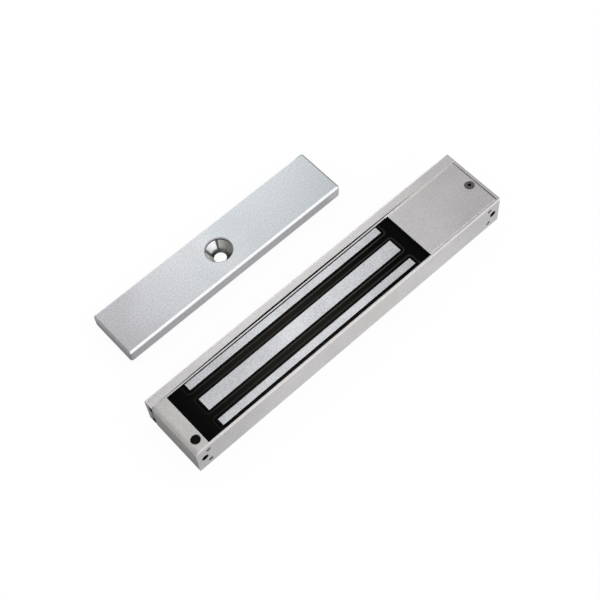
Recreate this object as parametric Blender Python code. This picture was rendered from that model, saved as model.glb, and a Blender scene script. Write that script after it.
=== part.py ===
"""Surface-mounted magnetic door lock, pole faces up, with its loose armature plate lying beside it."""
import math

import bmesh
import bpy
from mathutils import Matrix, Vector

mm = 0.001

# The whole set: x runs along the lock, y from its near side to the armature, z up from the table
LOCK_LENGTH = 250 * mm
LOCK_WIDTH = 47 * mm
POLE_HEIGHT = 25 * mm
LAY_GAP = 36.5 * mm
ARMATURE_LENGTH = 175 * mm
ARMATURE_WIDTH = 36.5 * mm
ARMATURE_THICKNESS = 11 * mm
SET_DEPTH = LOCK_WIDTH + LAY_GAP + ARMATURE_WIDTH
GAP = 0.3 * mm

# Case channel, an extrusion with a locating rail on its far wall
CASE_HEIGHT = 24.7 * mm
WALL = 1 * mm
FLOOR = 2 * mm
RAIL_HEIGHT = 7.4 * mm
RAIL_DEPTH = 2.5 * mm
KEY_HOLE_RADIUS = 2.15 * mm

# Mounting plate along the far wall
PLATE_THICKNESS = 5.7 * mm
PLATE_PARTING = 0.9 * mm
PLATE_INSET = 0.6 * mm
PLATE_SLOT_PLACES = (44 * mm, 192 * mm)
PLATE_SLOT_LENGTH = 20 * mm
PLATE_SLOT_WIDTH = 6.5 * mm
PLATE_HOLE_INSETS = (18 * mm, 84 * mm)
PLATE_HOLE_RADIUS = 2.6 * mm

# Captive mounting bolts, M5 with a 4 mm socket
BOLT_INSET = 5.5 * mm
BOLT_HEIGHT = 12.2 * mm
BOLT_RADIUS = 2.5 * mm
BOLT_HEAD_RADIUS = 4.25 * mm
BOLT_HEAD_LENGTH = 5 * mm
BOLT_TIP_COVER = 1.2 * mm
BOLT_SOCKET_RADIUS = 2.3 * mm
BOLT_SOCKET_DEPTH = 2.6 * mm

# End blocks and the pins that hold them
BLOCK_LENGTH = 11 * mm
BLOCK_ROUND = 3 * mm
END_LIP = 2 * mm
PIN_INSET = 8.9 * mm
PIN_HEIGHTS = (5.2 * mm, 19 * mm)
PIN_RADIUS = 1.25 * mm
PIN_LENGTH = 4 * mm

# Black plug in the left block
PLUG_PLACE = (6.4 * mm, 7.8 * mm)
PLUG_HOLE_RADIUS = 3 * mm
PLUG_DEPTH = 6 * mm
PLUG_DIMPLE_RADIUS = 1.6 * mm
PLUG_DIMPLE_DEPTH = 0.5 * mm

# E core
CORE_START = 23.9 * mm
CORE_LENGTH = 155 * mm
CORE_NEAR = 3.2 * mm
OUTER_POLE = 5.1 * mm
MIDDLE_POLE = 9.6 * mm
POLE_SLOT = 7.8 * mm
YOKE_HEIGHT = 8 * mm
RIVET_RADIUS = 1.5 * mm
RIVET_HEAD_RADIUS = 2.6 * mm
RIVET_HEAD_LENGTH = 1.2 * mm

# Coil on its former, round the middle pole
FORMER_WALL = 0.8 * mm
FLANGE_WIDTH = 6.0 * mm
WINDING_DEPTH = 9 * mm

# Epoxy and the partition that stops it
POTTING_DROP = 0.8 * mm
DAM_THICKNESS = 3.4 * mm
DAM_LIP = 1.5 * mm
LEAD_HOLE_RADIUS = 1.1 * mm
LEAD_PLACES = (10 * mm, 31 * mm)
LEAD_HEIGHT = 14 * mm

# Terminal cover and its screw, M3 countersunk with a 2 mm socket
COVER_START = 190.1 * mm
COVER_THICKNESS = 2 * mm
COVER_PARTING = 0.25 * mm
COVER_SEAT_DROP = 0.5 * mm
TONGUE_WIDTH = 12 * mm
TONGUE_LENGTH = 1 * mm
TONGUE_THICKNESS = 0.7 * mm
SCREW_PLACE = (243.4 * mm, 20.35 * mm)
SCREW_LENGTH = 5 * mm
SCREW_RADIUS = 1.5 * mm
SCREW_HEAD_RADIUS = 3 * mm
SCREW_SOCKET_RADIUS = 1.2 * mm
SCREW_SOCKET_DEPTH = 1.2 * mm
SCREW_SINK = 0.1 * mm

# Control board in the wiring space
BOARD_START = (195 * mm, 5 * mm)
BOARD_SIZE = (41 * mm, 30 * mm)
BOARD_BASE = 5 * mm
BOARD_THICKNESS = 1.6 * mm
BOARD_SCREW_INSET = 3.4 * mm
BOARD_SCREW_RADIUS = 1.1 * mm
BOARD_SCREW_HEAD_RADIUS = 2.2 * mm
BOARD_SCREW_HEAD_LENGTH = 1.5 * mm
BOARD_SCREW_REACH = 2 * mm
STANDOFF_RADIUS = 2.8 * mm

# Terminal block for two wires
TERMINAL_PITCH = 5.08 * mm
TERMINAL_PLACE = (210 * mm, 23 * mm)
TERMINAL_DEPTH = 8 * mm
TERMINAL_HEIGHT = 8.5 * mm
TERMINAL_STEP = 2.6 * mm
TERMINAL_WELL_RADIUS = 1.9 * mm
TERMINAL_WELL_DEPTH = 3 * mm
TERMINAL_MOUTH_WIDTH = 3.2 * mm
TERMINAL_MOUTH_HEIGHT = 3 * mm
TERMINAL_MOUTH_DEPTH = 4 * mm
TERMINAL_SCREW_RADIUS = 1.6 * mm
TERMINAL_SCREW_LENGTH = 2.2 * mm
TERMINAL_SCREW_SLOT = 0.6 * mm

# Voltage pins and their two caps
PIN_PITCH = 2.54 * mm
HEADER_PLACE = (207 * mm, 10.5 * mm)
HEADER_BASE_HEIGHT = 2.5 * mm
HEADER_PIN_SIDE = 0.64 * mm
HEADER_PIN_HEIGHT = 6 * mm
JUMPER_WIDTH = 2.2 * mm
JUMPER_LENGTH = 4.9 * mm
JUMPER_HEIGHT = 6 * mm
JUMPER_BORE_SIDE = 1.3 * mm
JUMPER_ROOF = 1.2 * mm

# Surge suppressor disc, standing on the board
VARISTOR_PLACE = (224 * mm, 11 * mm)
VARISTOR_RADIUS = 4 * mm
VARISTOR_THICKNESS = 3.6 * mm

# Coil leads and the cable entry
LEAD_RADIUS = 0.75 * mm
LEAD_START_DEPTH = 1.2 * mm
LEAD_STEPS = 12
CABLE_ENTRY = 217 * mm
ENTRY_HOLE_RADIUS = 6 * mm
ENTRY_CLEAR_RADIUS = 8 * mm
GROMMET_BORE_RADIUS = 3.6 * mm
GROMMET_FLANGE_RADIUS = 7.5 * mm
GROMMET_FLANGE_LENGTH = 1.4 * mm

# Armature plate
ARMATURE_SHIFT = -22.5 * mm
ARMATURE_EDGE = 1.2 * mm
SINK_RADIUS = 9 * mm
SINK_LEAD = 1 * mm
SINK_HALF_ANGLE = math.radians(30)
ARMATURE_BORE_RADIUS = 4.2 * mm
GUIDE_HOLE_SPACING = 76 * mm
GUIDE_HOLE_RADIUS = 2.6 * mm
GUIDE_HOLE_DEPTH = 6 * mm
CLOSED_GAP = 0.2 * mm

# Places that follow from the sizes above
LOCK_CORNER = Vector((-LOCK_LENGTH / 2, -SET_DEPTH / 2, 0))
CASE_WIDTH = LOCK_WIDTH - PLATE_THICKNESS - PLATE_PARTING
INNER_NEAR = WALL + GAP
INNER_FAR = CASE_WIDTH - WALL - GAP
INNER_FLOOR = FLOOR + GAP
CORE_WIDTH = 2 * OUTER_POLE + 2 * POLE_SLOT + MIDDLE_POLE
CORE_MIDDLE_Y = CORE_NEAR + CORE_WIDTH / 2
CORE_END = CORE_START + CORE_LENGTH
YOKE_TOP = INNER_FLOOR + YOKE_HEIGHT
FORMER_BASE = YOKE_TOP + GAP
WINDING_BASE = FORMER_BASE + FORMER_WALL + GAP
WINDING_TOP = WINDING_BASE + WINDING_DEPTH
FORMER_TOP = WINDING_TOP + GAP + FORMER_WALL
POTTING_TOP = POLE_HEIGHT - POTTING_DROP
DAM_START = COVER_START - COVER_PARTING - DAM_LIP
COVER_END = LOCK_LENGTH - END_LIP - COVER_PARTING
COVER_BASE = CASE_HEIGHT - COVER_THICKNESS
COVER_SEAT = COVER_BASE - COVER_SEAT_DROP
BOARD_TOP = BOARD_BASE + BOARD_THICKNESS
BOARD_FIT = BOARD_TOP + GAP
BOLT_PLACES = {"left": BOLT_INSET, "right": LOCK_LENGTH - BOLT_INSET}
RAIL_LOW = BOLT_HEIGHT - RAIL_HEIGHT / 2
RAIL_HIGH = BOLT_HEIGHT + RAIL_HEIGHT / 2

SIDES = 24
TURN = {
    "X": Matrix.Rotation(math.pi / 2, 4, "Y"),
    "Y": Matrix.Rotation(-math.pi / 2, 4, "X"),
    "Z": Matrix.Identity(4),
}


def clear_scene():
    for thing in list(bpy.data.objects):
        bpy.data.objects.remove(thing, do_unlink=True)


def finish(name, colour, roughness, metallic):
    material = bpy.data.materials.new(name)
    material.use_nodes = True
    shader = material.node_tree.nodes["Principled BSDF"]
    shader.inputs["Base Color"].default_value = (*colour, 1)
    shader.inputs["Roughness"].default_value = roughness
    shader.inputs["Metallic"].default_value = metallic
    return material


def add_empty(name, place):
    empty = bpy.data.objects.new(name, None)
    empty.location = place
    bpy.context.collection.objects.link(empty)
    return empty


def add_piece(name, shape, material, holder, origin=(0, 0, 0)):
    """Make an object of a shape drawn in the holder's frame, with its origin at the given point."""
    bmesh.ops.recalc_face_normals(shape, faces=shape.faces)
    if shape.calc_volume(signed=True) < 0:
        bmesh.ops.reverse_faces(shape, faces=shape.faces)
    bmesh.ops.translate(shape, verts=shape.verts, vec=-Vector(origin))
    mesh = bpy.data.meshes.new(name)
    shape.to_mesh(mesh)
    shape.free()
    mesh.shade_smooth()
    mesh.set_sharp_from_angle(angle=math.radians(30))
    mesh.materials.append(material)
    piece = bpy.data.objects.new(name, mesh)
    piece.location = origin
    piece.parent = holder
    bpy.context.collection.objects.link(piece)
    return piece


def shape_with(piece, operation, shape):
    """Cut a shape from a piece, or join it on, with the shape drawn in the piece's holder's frame."""
    tool = add_piece(piece.name + "_tool", shape, piece.data.materials[0], piece.parent)
    tool.hide_render = True
    tool.display_type = "WIRE"
    change = piece.modifiers.new(operation.lower(), "BOOLEAN")
    change.operation = operation
    change.solver = "EXACT"
    change.object = tool


def cut(piece, shape):
    shape_with(piece, "DIFFERENCE", shape)


def join(piece, shape):
    shape_with(piece, "UNION", shape)


def add_box(shape, low, high):
    low = Vector(low)
    high = Vector(high)
    place = Matrix.Translation((low + high) / 2) @ Matrix.Diagonal((*(high - low), 1))
    bmesh.ops.create_cube(shape, size=1, matrix=place)


def add_rod(shape, start, axis, length, radius, end_radius=None, sides=SIDES):
    """Add a round bar, or a cone where the end's radius differs, from a start point along an axis."""
    place = Matrix.Translation(Vector(start)) @ TURN[axis] @ Matrix.Translation((0, 0, length / 2))
    last = radius if end_radius is None else end_radius
    bmesh.ops.create_cone(
        shape, cap_ends=True, segments=sides, radius1=radius, radius2=last, depth=length, matrix=place
    )


def add_prism(shape, outline, axis, start, length):
    """Extrude an outline, given in the other two axes in their order, along an axis."""
    step = Vector([length if name == axis else 0 for name in "XYZ"])
    corners = []
    for first, second in outline:
        values = [first, second]
        values.insert("XYZ".index(axis), start)
        corners.append(shape.verts.new(values))
    face = shape.faces.new(corners)
    grown = bmesh.ops.extrude_face_region(shape, geom=[face])["geom"]
    bmesh.ops.translate(shape, verts=[part for part in grown if isinstance(part, bmesh.types.BMVert)], vec=step)


def add_turned(shape, profile, centre, axis, sides=SIDES):
    """Turn a profile of (radius, distance along the axis) points round an axis through the centre."""
    place = Matrix.Translation(Vector(centre)) @ TURN[axis]
    points = [shape.verts.new(place @ Vector((radius, 0, along))) for radius, along in profile]
    edges = [shape.edges.new(pair) for pair in zip(points, points[1:])]
    bmesh.ops.spin(
        shape,
        geom=points + edges,
        cent=place.translation,
        axis=place.to_3x3() @ Vector((0, 0, 1)),
        angle=2 * math.pi,
        steps=sides,
        use_merge=True,
    )
    bmesh.ops.remove_doubles(shape, verts=shape.verts, dist=0.01 * mm)


def round_loop(half_length, half_width, corner, height, steps=4):
    """Points of a rectangle with round corners, round the middle pole at a height."""
    middle = Vector((CORE_START + CORE_LENGTH / 2, CORE_MIDDLE_Y, height))
    points = []
    for quarter in range(4):
        sign_x = (1, -1, -1, 1)[quarter]
        sign_y = (1, 1, -1, -1)[quarter]
        hub = Vector((sign_x * (half_length - corner), sign_y * (half_width - corner), 0))
        for step in range(steps + 1):
            angle = (quarter + step / steps) * math.pi / 2
            points.append(middle + hub + corner * Vector((math.cos(angle), math.sin(angle), 0)))
    return points


def add_band(shape, loops):
    """Join closed loops one to the next, and the last to the first, into a closed ring."""
    rings = [[shape.verts.new(point) for point in loop] for loop in loops]
    for first, second in zip(rings, rings[1:] + rings[:1]):
        for index in range(len(first)):
            shape.faces.new((first[index - 1], first[index], second[index], second[index - 1]))


def pin_places():
    """Each pin's name, x place, height and side: near wall or far wall."""
    places = []
    for end, along in (("left", PIN_INSET), ("right", LOCK_LENGTH - PIN_INSET)):
        for level, height in zip(("low", "high"), PIN_HEIGHTS):
            for side in ("near", "far"):
                places.append((f"end_pin_{side}_{end}_{level}", along, height, side))
    return places


def add_pin_rods(shape, radius, reach, keep=""):
    """Rods at the pins of one end, or of both ends, running inwards from the outer faces of the walls."""
    for name, along, height, side in pin_places():
        if keep in name:
            start = -GAP if side == "near" else CASE_WIDTH + GAP - reach
            add_rod(shape, (along, start, height), "Y", reach, radius, sides=16)


def left_edge_arc(steps=5):
    """Points of the left end's rounded upper edge, from the top face down to the end face."""
    points = []
    for step in range(steps + 1):
        angle = step / steps * math.pi / 2
        along = BLOCK_ROUND * (1 - math.sin(angle))
        points.append((along, CASE_HEIGHT - BLOCK_ROUND * (1 - math.cos(angle))))
    return points


def add_case(lock, aluminium):
    outline = [
        (0, 0),
        (CASE_WIDTH, 0),
        (CASE_WIDTH, RAIL_LOW),
        (CASE_WIDTH + RAIL_DEPTH, RAIL_LOW),
        (CASE_WIDTH + RAIL_DEPTH, RAIL_HIGH),
        (CASE_WIDTH, RAIL_HIGH),
        (CASE_WIDTH, CASE_HEIGHT),
        (CASE_WIDTH - WALL, CASE_HEIGHT),
        (CASE_WIDTH - WALL, FLOOR),
        (WALL, FLOOR),
        (WALL, CASE_HEIGHT),
        (0, CASE_HEIGHT),
    ]
    shape = bmesh.new()
    add_prism(shape, outline, "X", 0, LOCK_LENGTH)
    case = add_piece("case_channel", shape, aluminium, lock)
    holes = bmesh.new()
    add_pin_rods(holes, PIN_RADIUS + GAP, WALL + 2 * GAP)
    far_start = CASE_WIDTH - WALL - GAP
    for along in BOLT_PLACES.values():
        add_rod(holes, (along, -GAP, BOLT_HEIGHT), "Y", WALL + 2 * GAP, KEY_HOLE_RADIUS)
        add_rod(holes, (along, far_start, BOLT_HEIGHT), "Y", WALL + RAIL_DEPTH + 2 * GAP, BOLT_RADIUS + GAP)
    add_rod(holes, (CABLE_ENTRY, far_start, BOLT_HEIGHT), "Y", WALL + 2 * GAP, ENTRY_HOLE_RADIUS)
    cut(case, holes)
    notch = bmesh.new()
    add_rod(notch, (CABLE_ENTRY, CASE_WIDTH, BOLT_HEIGHT), "Y", RAIL_DEPTH + GAP, ENTRY_CLEAR_RADIUS)
    cut(case, notch)
    corner = bmesh.new()
    outline = [(-GAP, CASE_HEIGHT + GAP), (BLOCK_ROUND, CASE_HEIGHT + GAP)]
    outline.extend(left_edge_arc())
    outline.append((-GAP, CASE_HEIGHT - BLOCK_ROUND))
    add_prism(corner, outline, "Y", -GAP, CASE_WIDTH + 2 * GAP)
    cut(case, corner)


def cut_bolt_way(block, along):
    """Head pocket and shank hole of a captive bolt, right across an end block."""
    pocket = bmesh.new()
    pocket_depth = BOLT_HEAD_LENGTH + 2 * GAP
    add_rod(pocket, (along, INNER_NEAR - GAP, BOLT_HEIGHT), "Y", pocket_depth + GAP, BOLT_HEAD_RADIUS + GAP)
    cut(block, pocket)
    hole = bmesh.new()
    add_rod(hole, (along, INNER_NEAR, BOLT_HEIGHT), "Y", INNER_FAR - INNER_NEAR + GAP, BOLT_RADIUS + GAP)
    cut(block, hole)


def add_left_block(lock, cast):
    outline = [(BLOCK_LENGTH, INNER_FLOOR), (BLOCK_LENGTH, CASE_HEIGHT)]
    outline.extend(left_edge_arc())
    outline.append((0, INNER_FLOOR))
    shape = bmesh.new()
    add_prism(shape, outline, "Y", INNER_NEAR, INNER_FAR - INNER_NEAR)
    block = add_piece("end_block_left", shape, cast, lock)
    cut_bolt_way(block, BOLT_PLACES["left"])
    holes = bmesh.new()
    add_rod(holes, (*PLUG_PLACE, CASE_HEIGHT - PLUG_DEPTH - GAP), "Z", PLUG_DEPTH + 2 * GAP, PLUG_HOLE_RADIUS)
    add_pin_rods(holes, PIN_RADIUS + GAP, PIN_LENGTH + 2 * GAP, "left")
    cut(block, holes)


def add_right_block(lock, cast):
    start = LOCK_LENGTH - BLOCK_LENGTH
    outline = [
        (start, INNER_FLOOR),
        (LOCK_LENGTH, INNER_FLOOR),
        (LOCK_LENGTH, CASE_HEIGHT),
        (LOCK_LENGTH - END_LIP, CASE_HEIGHT),
        (LOCK_LENGTH - END_LIP, COVER_SEAT),
        (start, COVER_SEAT),
    ]
    shape = bmesh.new()
    add_prism(shape, outline, "Y", INNER_NEAR, INNER_FAR - INNER_NEAR)
    block = add_piece("end_block_right", shape, cast, lock)
    cut_bolt_way(block, BOLT_PLACES["right"])
    holes = bmesh.new()
    tip = CASE_HEIGHT - SCREW_LENGTH - SCREW_SINK
    add_rod(holes, (*SCREW_PLACE, tip - 2 * GAP), "Z", COVER_SEAT - tip + 3 * GAP, SCREW_RADIUS + GAP)
    add_pin_rods(holes, PIN_RADIUS + GAP, PIN_LENGTH + 2 * GAP, "right")
    cut(block, holes)


def add_end_pins(lock, steel):
    for name, along, height, side in pin_places():
        start = 0 if side == "near" else CASE_WIDTH - PIN_LENGTH
        shape = bmesh.new()
        add_rod(shape, (along, start, height), "Y", PIN_LENGTH, PIN_RADIUS, sides=16)
        add_piece(name, shape, steel, lock, (along, start, height))


def add_mount_bolts(lock, steel):
    head_start = INNER_NEAR + GAP
    length = LOCK_WIDTH - BOLT_TIP_COVER - head_start
    profile = [
        (0, 0),
        (BOLT_HEAD_RADIUS, 0),
        (BOLT_HEAD_RADIUS, BOLT_HEAD_LENGTH),
        (BOLT_RADIUS, BOLT_HEAD_LENGTH),
        (BOLT_RADIUS, length),
        (0, length),
    ]
    for end, along in BOLT_PLACES.items():
        place = (along, head_start, BOLT_HEIGHT)
        shape = bmesh.new()
        add_turned(shape, profile, place, "Y")
        bolt = add_piece(f"mount_bolt_{end}", shape, steel, lock, place)
        socket = bmesh.new()
        start = (along, head_start - GAP, BOLT_HEIGHT)
        add_rod(socket, start, "Y", BOLT_SOCKET_DEPTH + GAP, BOLT_SOCKET_RADIUS, sides=6)
        cut(bolt, socket)


def add_mounting_plate(lock, aluminium):
    near = CASE_WIDTH + PLATE_PARTING
    groove = CASE_WIDTH + RAIL_DEPTH + GAP
    low = PLATE_INSET
    high = CASE_HEIGHT - PLATE_INSET
    outline = [
        (LOCK_WIDTH, low),
        (LOCK_WIDTH, high),
        (near, high),
        (near, RAIL_HIGH + GAP),
        (groove, RAIL_HIGH + GAP),
        (groove, RAIL_LOW - GAP),
        (near, RAIL_LOW - GAP),
        (near, low),
    ]
    shape = bmesh.new()
    add_prism(shape, outline, "X", 0, LOCK_LENGTH)
    plate = add_piece("mounting_plate", shape, aluminium, lock, (0, near, 0))
    through = LOCK_WIDTH - near + 2 * GAP
    holes = bmesh.new()
    for along in (*PLATE_HOLE_INSETS, *(LOCK_LENGTH - inset for inset in PLATE_HOLE_INSETS)):
        add_rod(holes, (along, near - GAP, BOLT_HEIGHT), "Y", through, PLATE_HOLE_RADIUS)
    for along in BOLT_PLACES.values():
        add_rod(holes, (along, near - GAP, BOLT_HEIGHT), "Y", through, BOLT_RADIUS + GAP)
    add_rod(holes, (CABLE_ENTRY, near - GAP, BOLT_HEIGHT), "Y", through, ENTRY_CLEAR_RADIUS)
    cut(plate, holes)
    half_run = (PLATE_SLOT_LENGTH - PLATE_SLOT_WIDTH) / 2
    radius = PLATE_SLOT_WIDTH / 2
    arc_steps = 8
    slots = bmesh.new()
    for middle in PLATE_SLOT_PLACES:
        outline = []
        for side in (1, -1):
            for step in range(arc_steps + 1):
                angle = side * math.pi / 2 - math.pi * step / arc_steps
                along = middle + side * half_run + radius * math.cos(angle)
                outline.append((along, BOLT_HEIGHT + radius * math.sin(angle)))
        add_prism(slots, outline, "Y", near - GAP, through)
    cut(plate, slots)


def add_core(lock, steel):
    pole_edges = [CORE_NEAR]
    for width in (OUTER_POLE, POLE_SLOT, MIDDLE_POLE, POLE_SLOT, OUTER_POLE):
        pole_edges.append(pole_edges[-1] + width)
    outline = [(pole_edges[0], INNER_FLOOR)]
    for index, edge in enumerate(pole_edges):
        rising = index % 2 == 0
        bottom = INNER_FLOOR if index in (0, len(pole_edges) - 1) else YOKE_TOP
        levels = (bottom, POLE_HEIGHT) if rising else (POLE_HEIGHT, bottom)
        outline.extend((edge, level) for level in levels if (edge, level) not in outline)
    shape = bmesh.new()
    add_prism(shape, outline, "X", CORE_START, CORE_LENGTH)
    core = add_piece("core_stack", shape, steel, lock)
    length = CORE_LENGTH + 2 * GAP
    head = RIVET_HEAD_LENGTH
    profile = [
        (0, -head),
        (RIVET_HEAD_RADIUS, -head),
        (RIVET_HEAD_RADIUS, 0),
        (RIVET_RADIUS, 0),
        (RIVET_RADIUS, length),
        (RIVET_HEAD_RADIUS, length),
        (RIVET_HEAD_RADIUS, length + head),
        (0, length + head),
    ]
    holes = bmesh.new()
    half_span = (CORE_WIDTH - OUTER_POLE) / 2
    for number, offset in enumerate((-half_span, 0, half_span), start=1):
        place = (CORE_START - GAP, CORE_MIDDLE_Y + offset, INNER_FLOOR + YOKE_HEIGHT / 2)
        add_rod(holes, place, "X", length, RIVET_RADIUS + GAP, sides=12)
        rivet = bmesh.new()
        add_turned(rivet, profile, place, "X", sides=12)
        add_piece(f"core_rivet_{number}", rivet, steel, lock, place)
    cut(core, holes)


def coil_loop(offset, height):
    """Loop round the middle pole, a set distance outside its faces."""
    return round_loop(CORE_LENGTH / 2 + offset, MIDDLE_POLE / 2 + offset, offset, height)


def add_coil(lock, nylon, copper):
    inside = GAP
    web = inside + FORMER_WALL
    rim = inside + FLANGE_WIDTH
    former = bmesh.new()
    sections = [
        (inside, FORMER_BASE),
        (rim, FORMER_BASE),
        (rim, FORMER_BASE + FORMER_WALL),
        (web, FORMER_BASE + FORMER_WALL),
        (web, FORMER_TOP - FORMER_WALL),
        (rim, FORMER_TOP - FORMER_WALL),
        (rim, FORMER_TOP),
        (inside, FORMER_TOP),
    ]
    add_band(former, [coil_loop(offset, height) for offset, height in sections])
    add_piece("coil_former", former, nylon, lock)
    first = web + GAP
    last = rim - GAP
    winding = bmesh.new()
    corners = [(first, WINDING_BASE), (last, WINDING_BASE), (last, WINDING_TOP), (first, WINDING_TOP)]
    add_band(winding, [coil_loop(offset, height) for offset, height in corners])
    add_piece("coil_winding", winding, copper, lock)


def add_potting(lock, epoxy):
    shape = bmesh.new()
    low = (BLOCK_LENGTH + GAP, INNER_NEAR, INNER_FLOOR)
    high = (DAM_START - GAP, INNER_FAR, POTTING_TOP)
    add_box(shape, low, high)
    potting = add_piece("potting", shape, epoxy, lock)
    roof = FORMER_TOP + GAP
    yoke_room = bmesh.new()
    add_box(
        yoke_room,
        (CORE_START - GAP, CORE_NEAR - GAP, 0),
        (CORE_END + GAP, CORE_NEAR + CORE_WIDTH + GAP, roof),
    )
    cut(potting, yoke_room)
    coil_room = bmesh.new()
    outline = [(point.x, point.y) for point in coil_loop(FLANGE_WIDTH + 2 * GAP, 0)]
    add_prism(coil_room, outline, "Z", 0, roof)
    cut(potting, coil_room)
    rivet_room = bmesh.new()
    rivet_reach = GAP * 3 + RIVET_HEAD_LENGTH
    add_box(
        rivet_room,
        (CORE_START - rivet_reach, CORE_NEAR - GAP, 0),
        (CORE_END + rivet_reach, CORE_NEAR + CORE_WIDTH + GAP, YOKE_TOP),
    )
    cut(potting, rivet_room)
    pole_room = bmesh.new()
    near = CORE_NEAR
    for width, following in ((OUTER_POLE, POLE_SLOT), (MIDDLE_POLE, POLE_SLOT), (OUTER_POLE, 0)):
        add_box(
            pole_room,
            (CORE_START - GAP, near - GAP, roof - GAP),
            (CORE_END + GAP, near + width + GAP, POLE_HEIGHT + GAP),
        )
        near += width + following
    cut(potting, pole_room)


def add_dam(lock, nylon):
    outline = [
        (DAM_START, INNER_FLOOR),
        (DAM_START + DAM_THICKNESS, INNER_FLOOR),
        (DAM_START + DAM_THICKNESS, COVER_SEAT),
        (DAM_START + DAM_LIP, COVER_SEAT),
        (DAM_START + DAM_LIP, POTTING_TOP),
        (DAM_START, POTTING_TOP),
    ]
    shape = bmesh.new()
    add_prism(shape, outline, "Y", INNER_NEAR, INNER_FAR - INNER_NEAR)
    dam = add_piece("potting_dam", shape, nylon, lock)
    openings = bmesh.new()
    tongue_top = COVER_BASE + TONGUE_THICKNESS
    half_width = TONGUE_WIDTH / 2 + GAP
    add_box(
        openings,
        (COVER_START - TONGUE_LENGTH - GAP, CORE_MIDDLE_Y - half_width, COVER_SEAT),
        (COVER_START, CORE_MIDDLE_Y + half_width, tongue_top + GAP),
    )
    for across in LEAD_PLACES:
        add_rod(openings, (DAM_START - GAP, across, LEAD_HEIGHT), "X", DAM_THICKNESS + 2 * GAP, LEAD_HOLE_RADIUS)
    cut(dam, openings)


def add_cover(lock, aluminium, steel):
    axis_point = (COVER_START, CORE_MIDDLE_Y, CASE_HEIGHT)
    shape = bmesh.new()
    add_box(shape, (COVER_START, INNER_NEAR, COVER_BASE), (COVER_END, INNER_FAR, CASE_HEIGHT))
    cover = add_piece("terminal_cover", shape, aluminium, lock, axis_point)
    tongue = bmesh.new()
    add_box(
        tongue,
        (COVER_START - TONGUE_LENGTH, CORE_MIDDLE_Y - TONGUE_WIDTH / 2, COVER_BASE),
        (COVER_START + TONGUE_LENGTH, CORE_MIDDLE_Y + TONGUE_WIDTH / 2, COVER_BASE + TONGUE_THICKNESS),
    )
    join(cover, tongue)
    head_top = CASE_HEIGHT - SCREW_SINK
    sink_depth = SCREW_HEAD_RADIUS - SCREW_RADIUS
    hole = bmesh.new()
    hole_radius = SCREW_RADIUS + GAP
    sink_radius = SCREW_HEAD_RADIUS + GAP
    hole_profile = [
        (0, COVER_BASE - GAP),
        (hole_radius, COVER_BASE - GAP),
        (hole_radius, head_top - sink_depth),
        (sink_radius, head_top),
        (sink_radius, CASE_HEIGHT + GAP),
        (0, CASE_HEIGHT + GAP),
    ]
    add_turned(hole, hole_profile, (*SCREW_PLACE, 0), "Z")
    cut(cover, hole)
    screw_profile = [
        (0, -SCREW_LENGTH),
        (SCREW_RADIUS, -SCREW_LENGTH),
        (SCREW_RADIUS, -sink_depth),
        (SCREW_HEAD_RADIUS, 0),
        (0, 0),
    ]
    place = (*SCREW_PLACE, head_top)
    shape = bmesh.new()
    add_turned(shape, screw_profile, place, "Z")
    screw = add_piece("cover_screw", shape, steel, lock, place)
    socket = bmesh.new()
    start = (*SCREW_PLACE, head_top - SCREW_SOCKET_DEPTH)
    add_rod(socket, start, "Z", SCREW_SOCKET_DEPTH + GAP, SCREW_SOCKET_RADIUS, sides=6)
    cut(screw, socket)


def add_plug(lock, rubber):
    radius = PLUG_HOLE_RADIUS - GAP
    profile = [
        (0, -PLUG_DEPTH + GAP),
        (radius, -PLUG_DEPTH + GAP),
        (radius, 0),
        (PLUG_DIMPLE_RADIUS, 0),
        (PLUG_DIMPLE_RADIUS, -PLUG_DIMPLE_DEPTH),
        (0, -PLUG_DIMPLE_DEPTH),
    ]
    place = (*PLUG_PLACE, CASE_HEIGHT - GAP)
    shape = bmesh.new()
    add_turned(shape, profile, place, "Z")
    add_piece("access_plug", shape, rubber, lock, place)


def board_screw_places():
    near = (BOARD_START[0] + BOARD_SCREW_INSET, BOARD_START[1] + BOARD_SCREW_INSET)
    far = [start + size - BOARD_SCREW_INSET for start, size in zip(BOARD_START, BOARD_SIZE)]
    return near, tuple(far)


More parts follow.
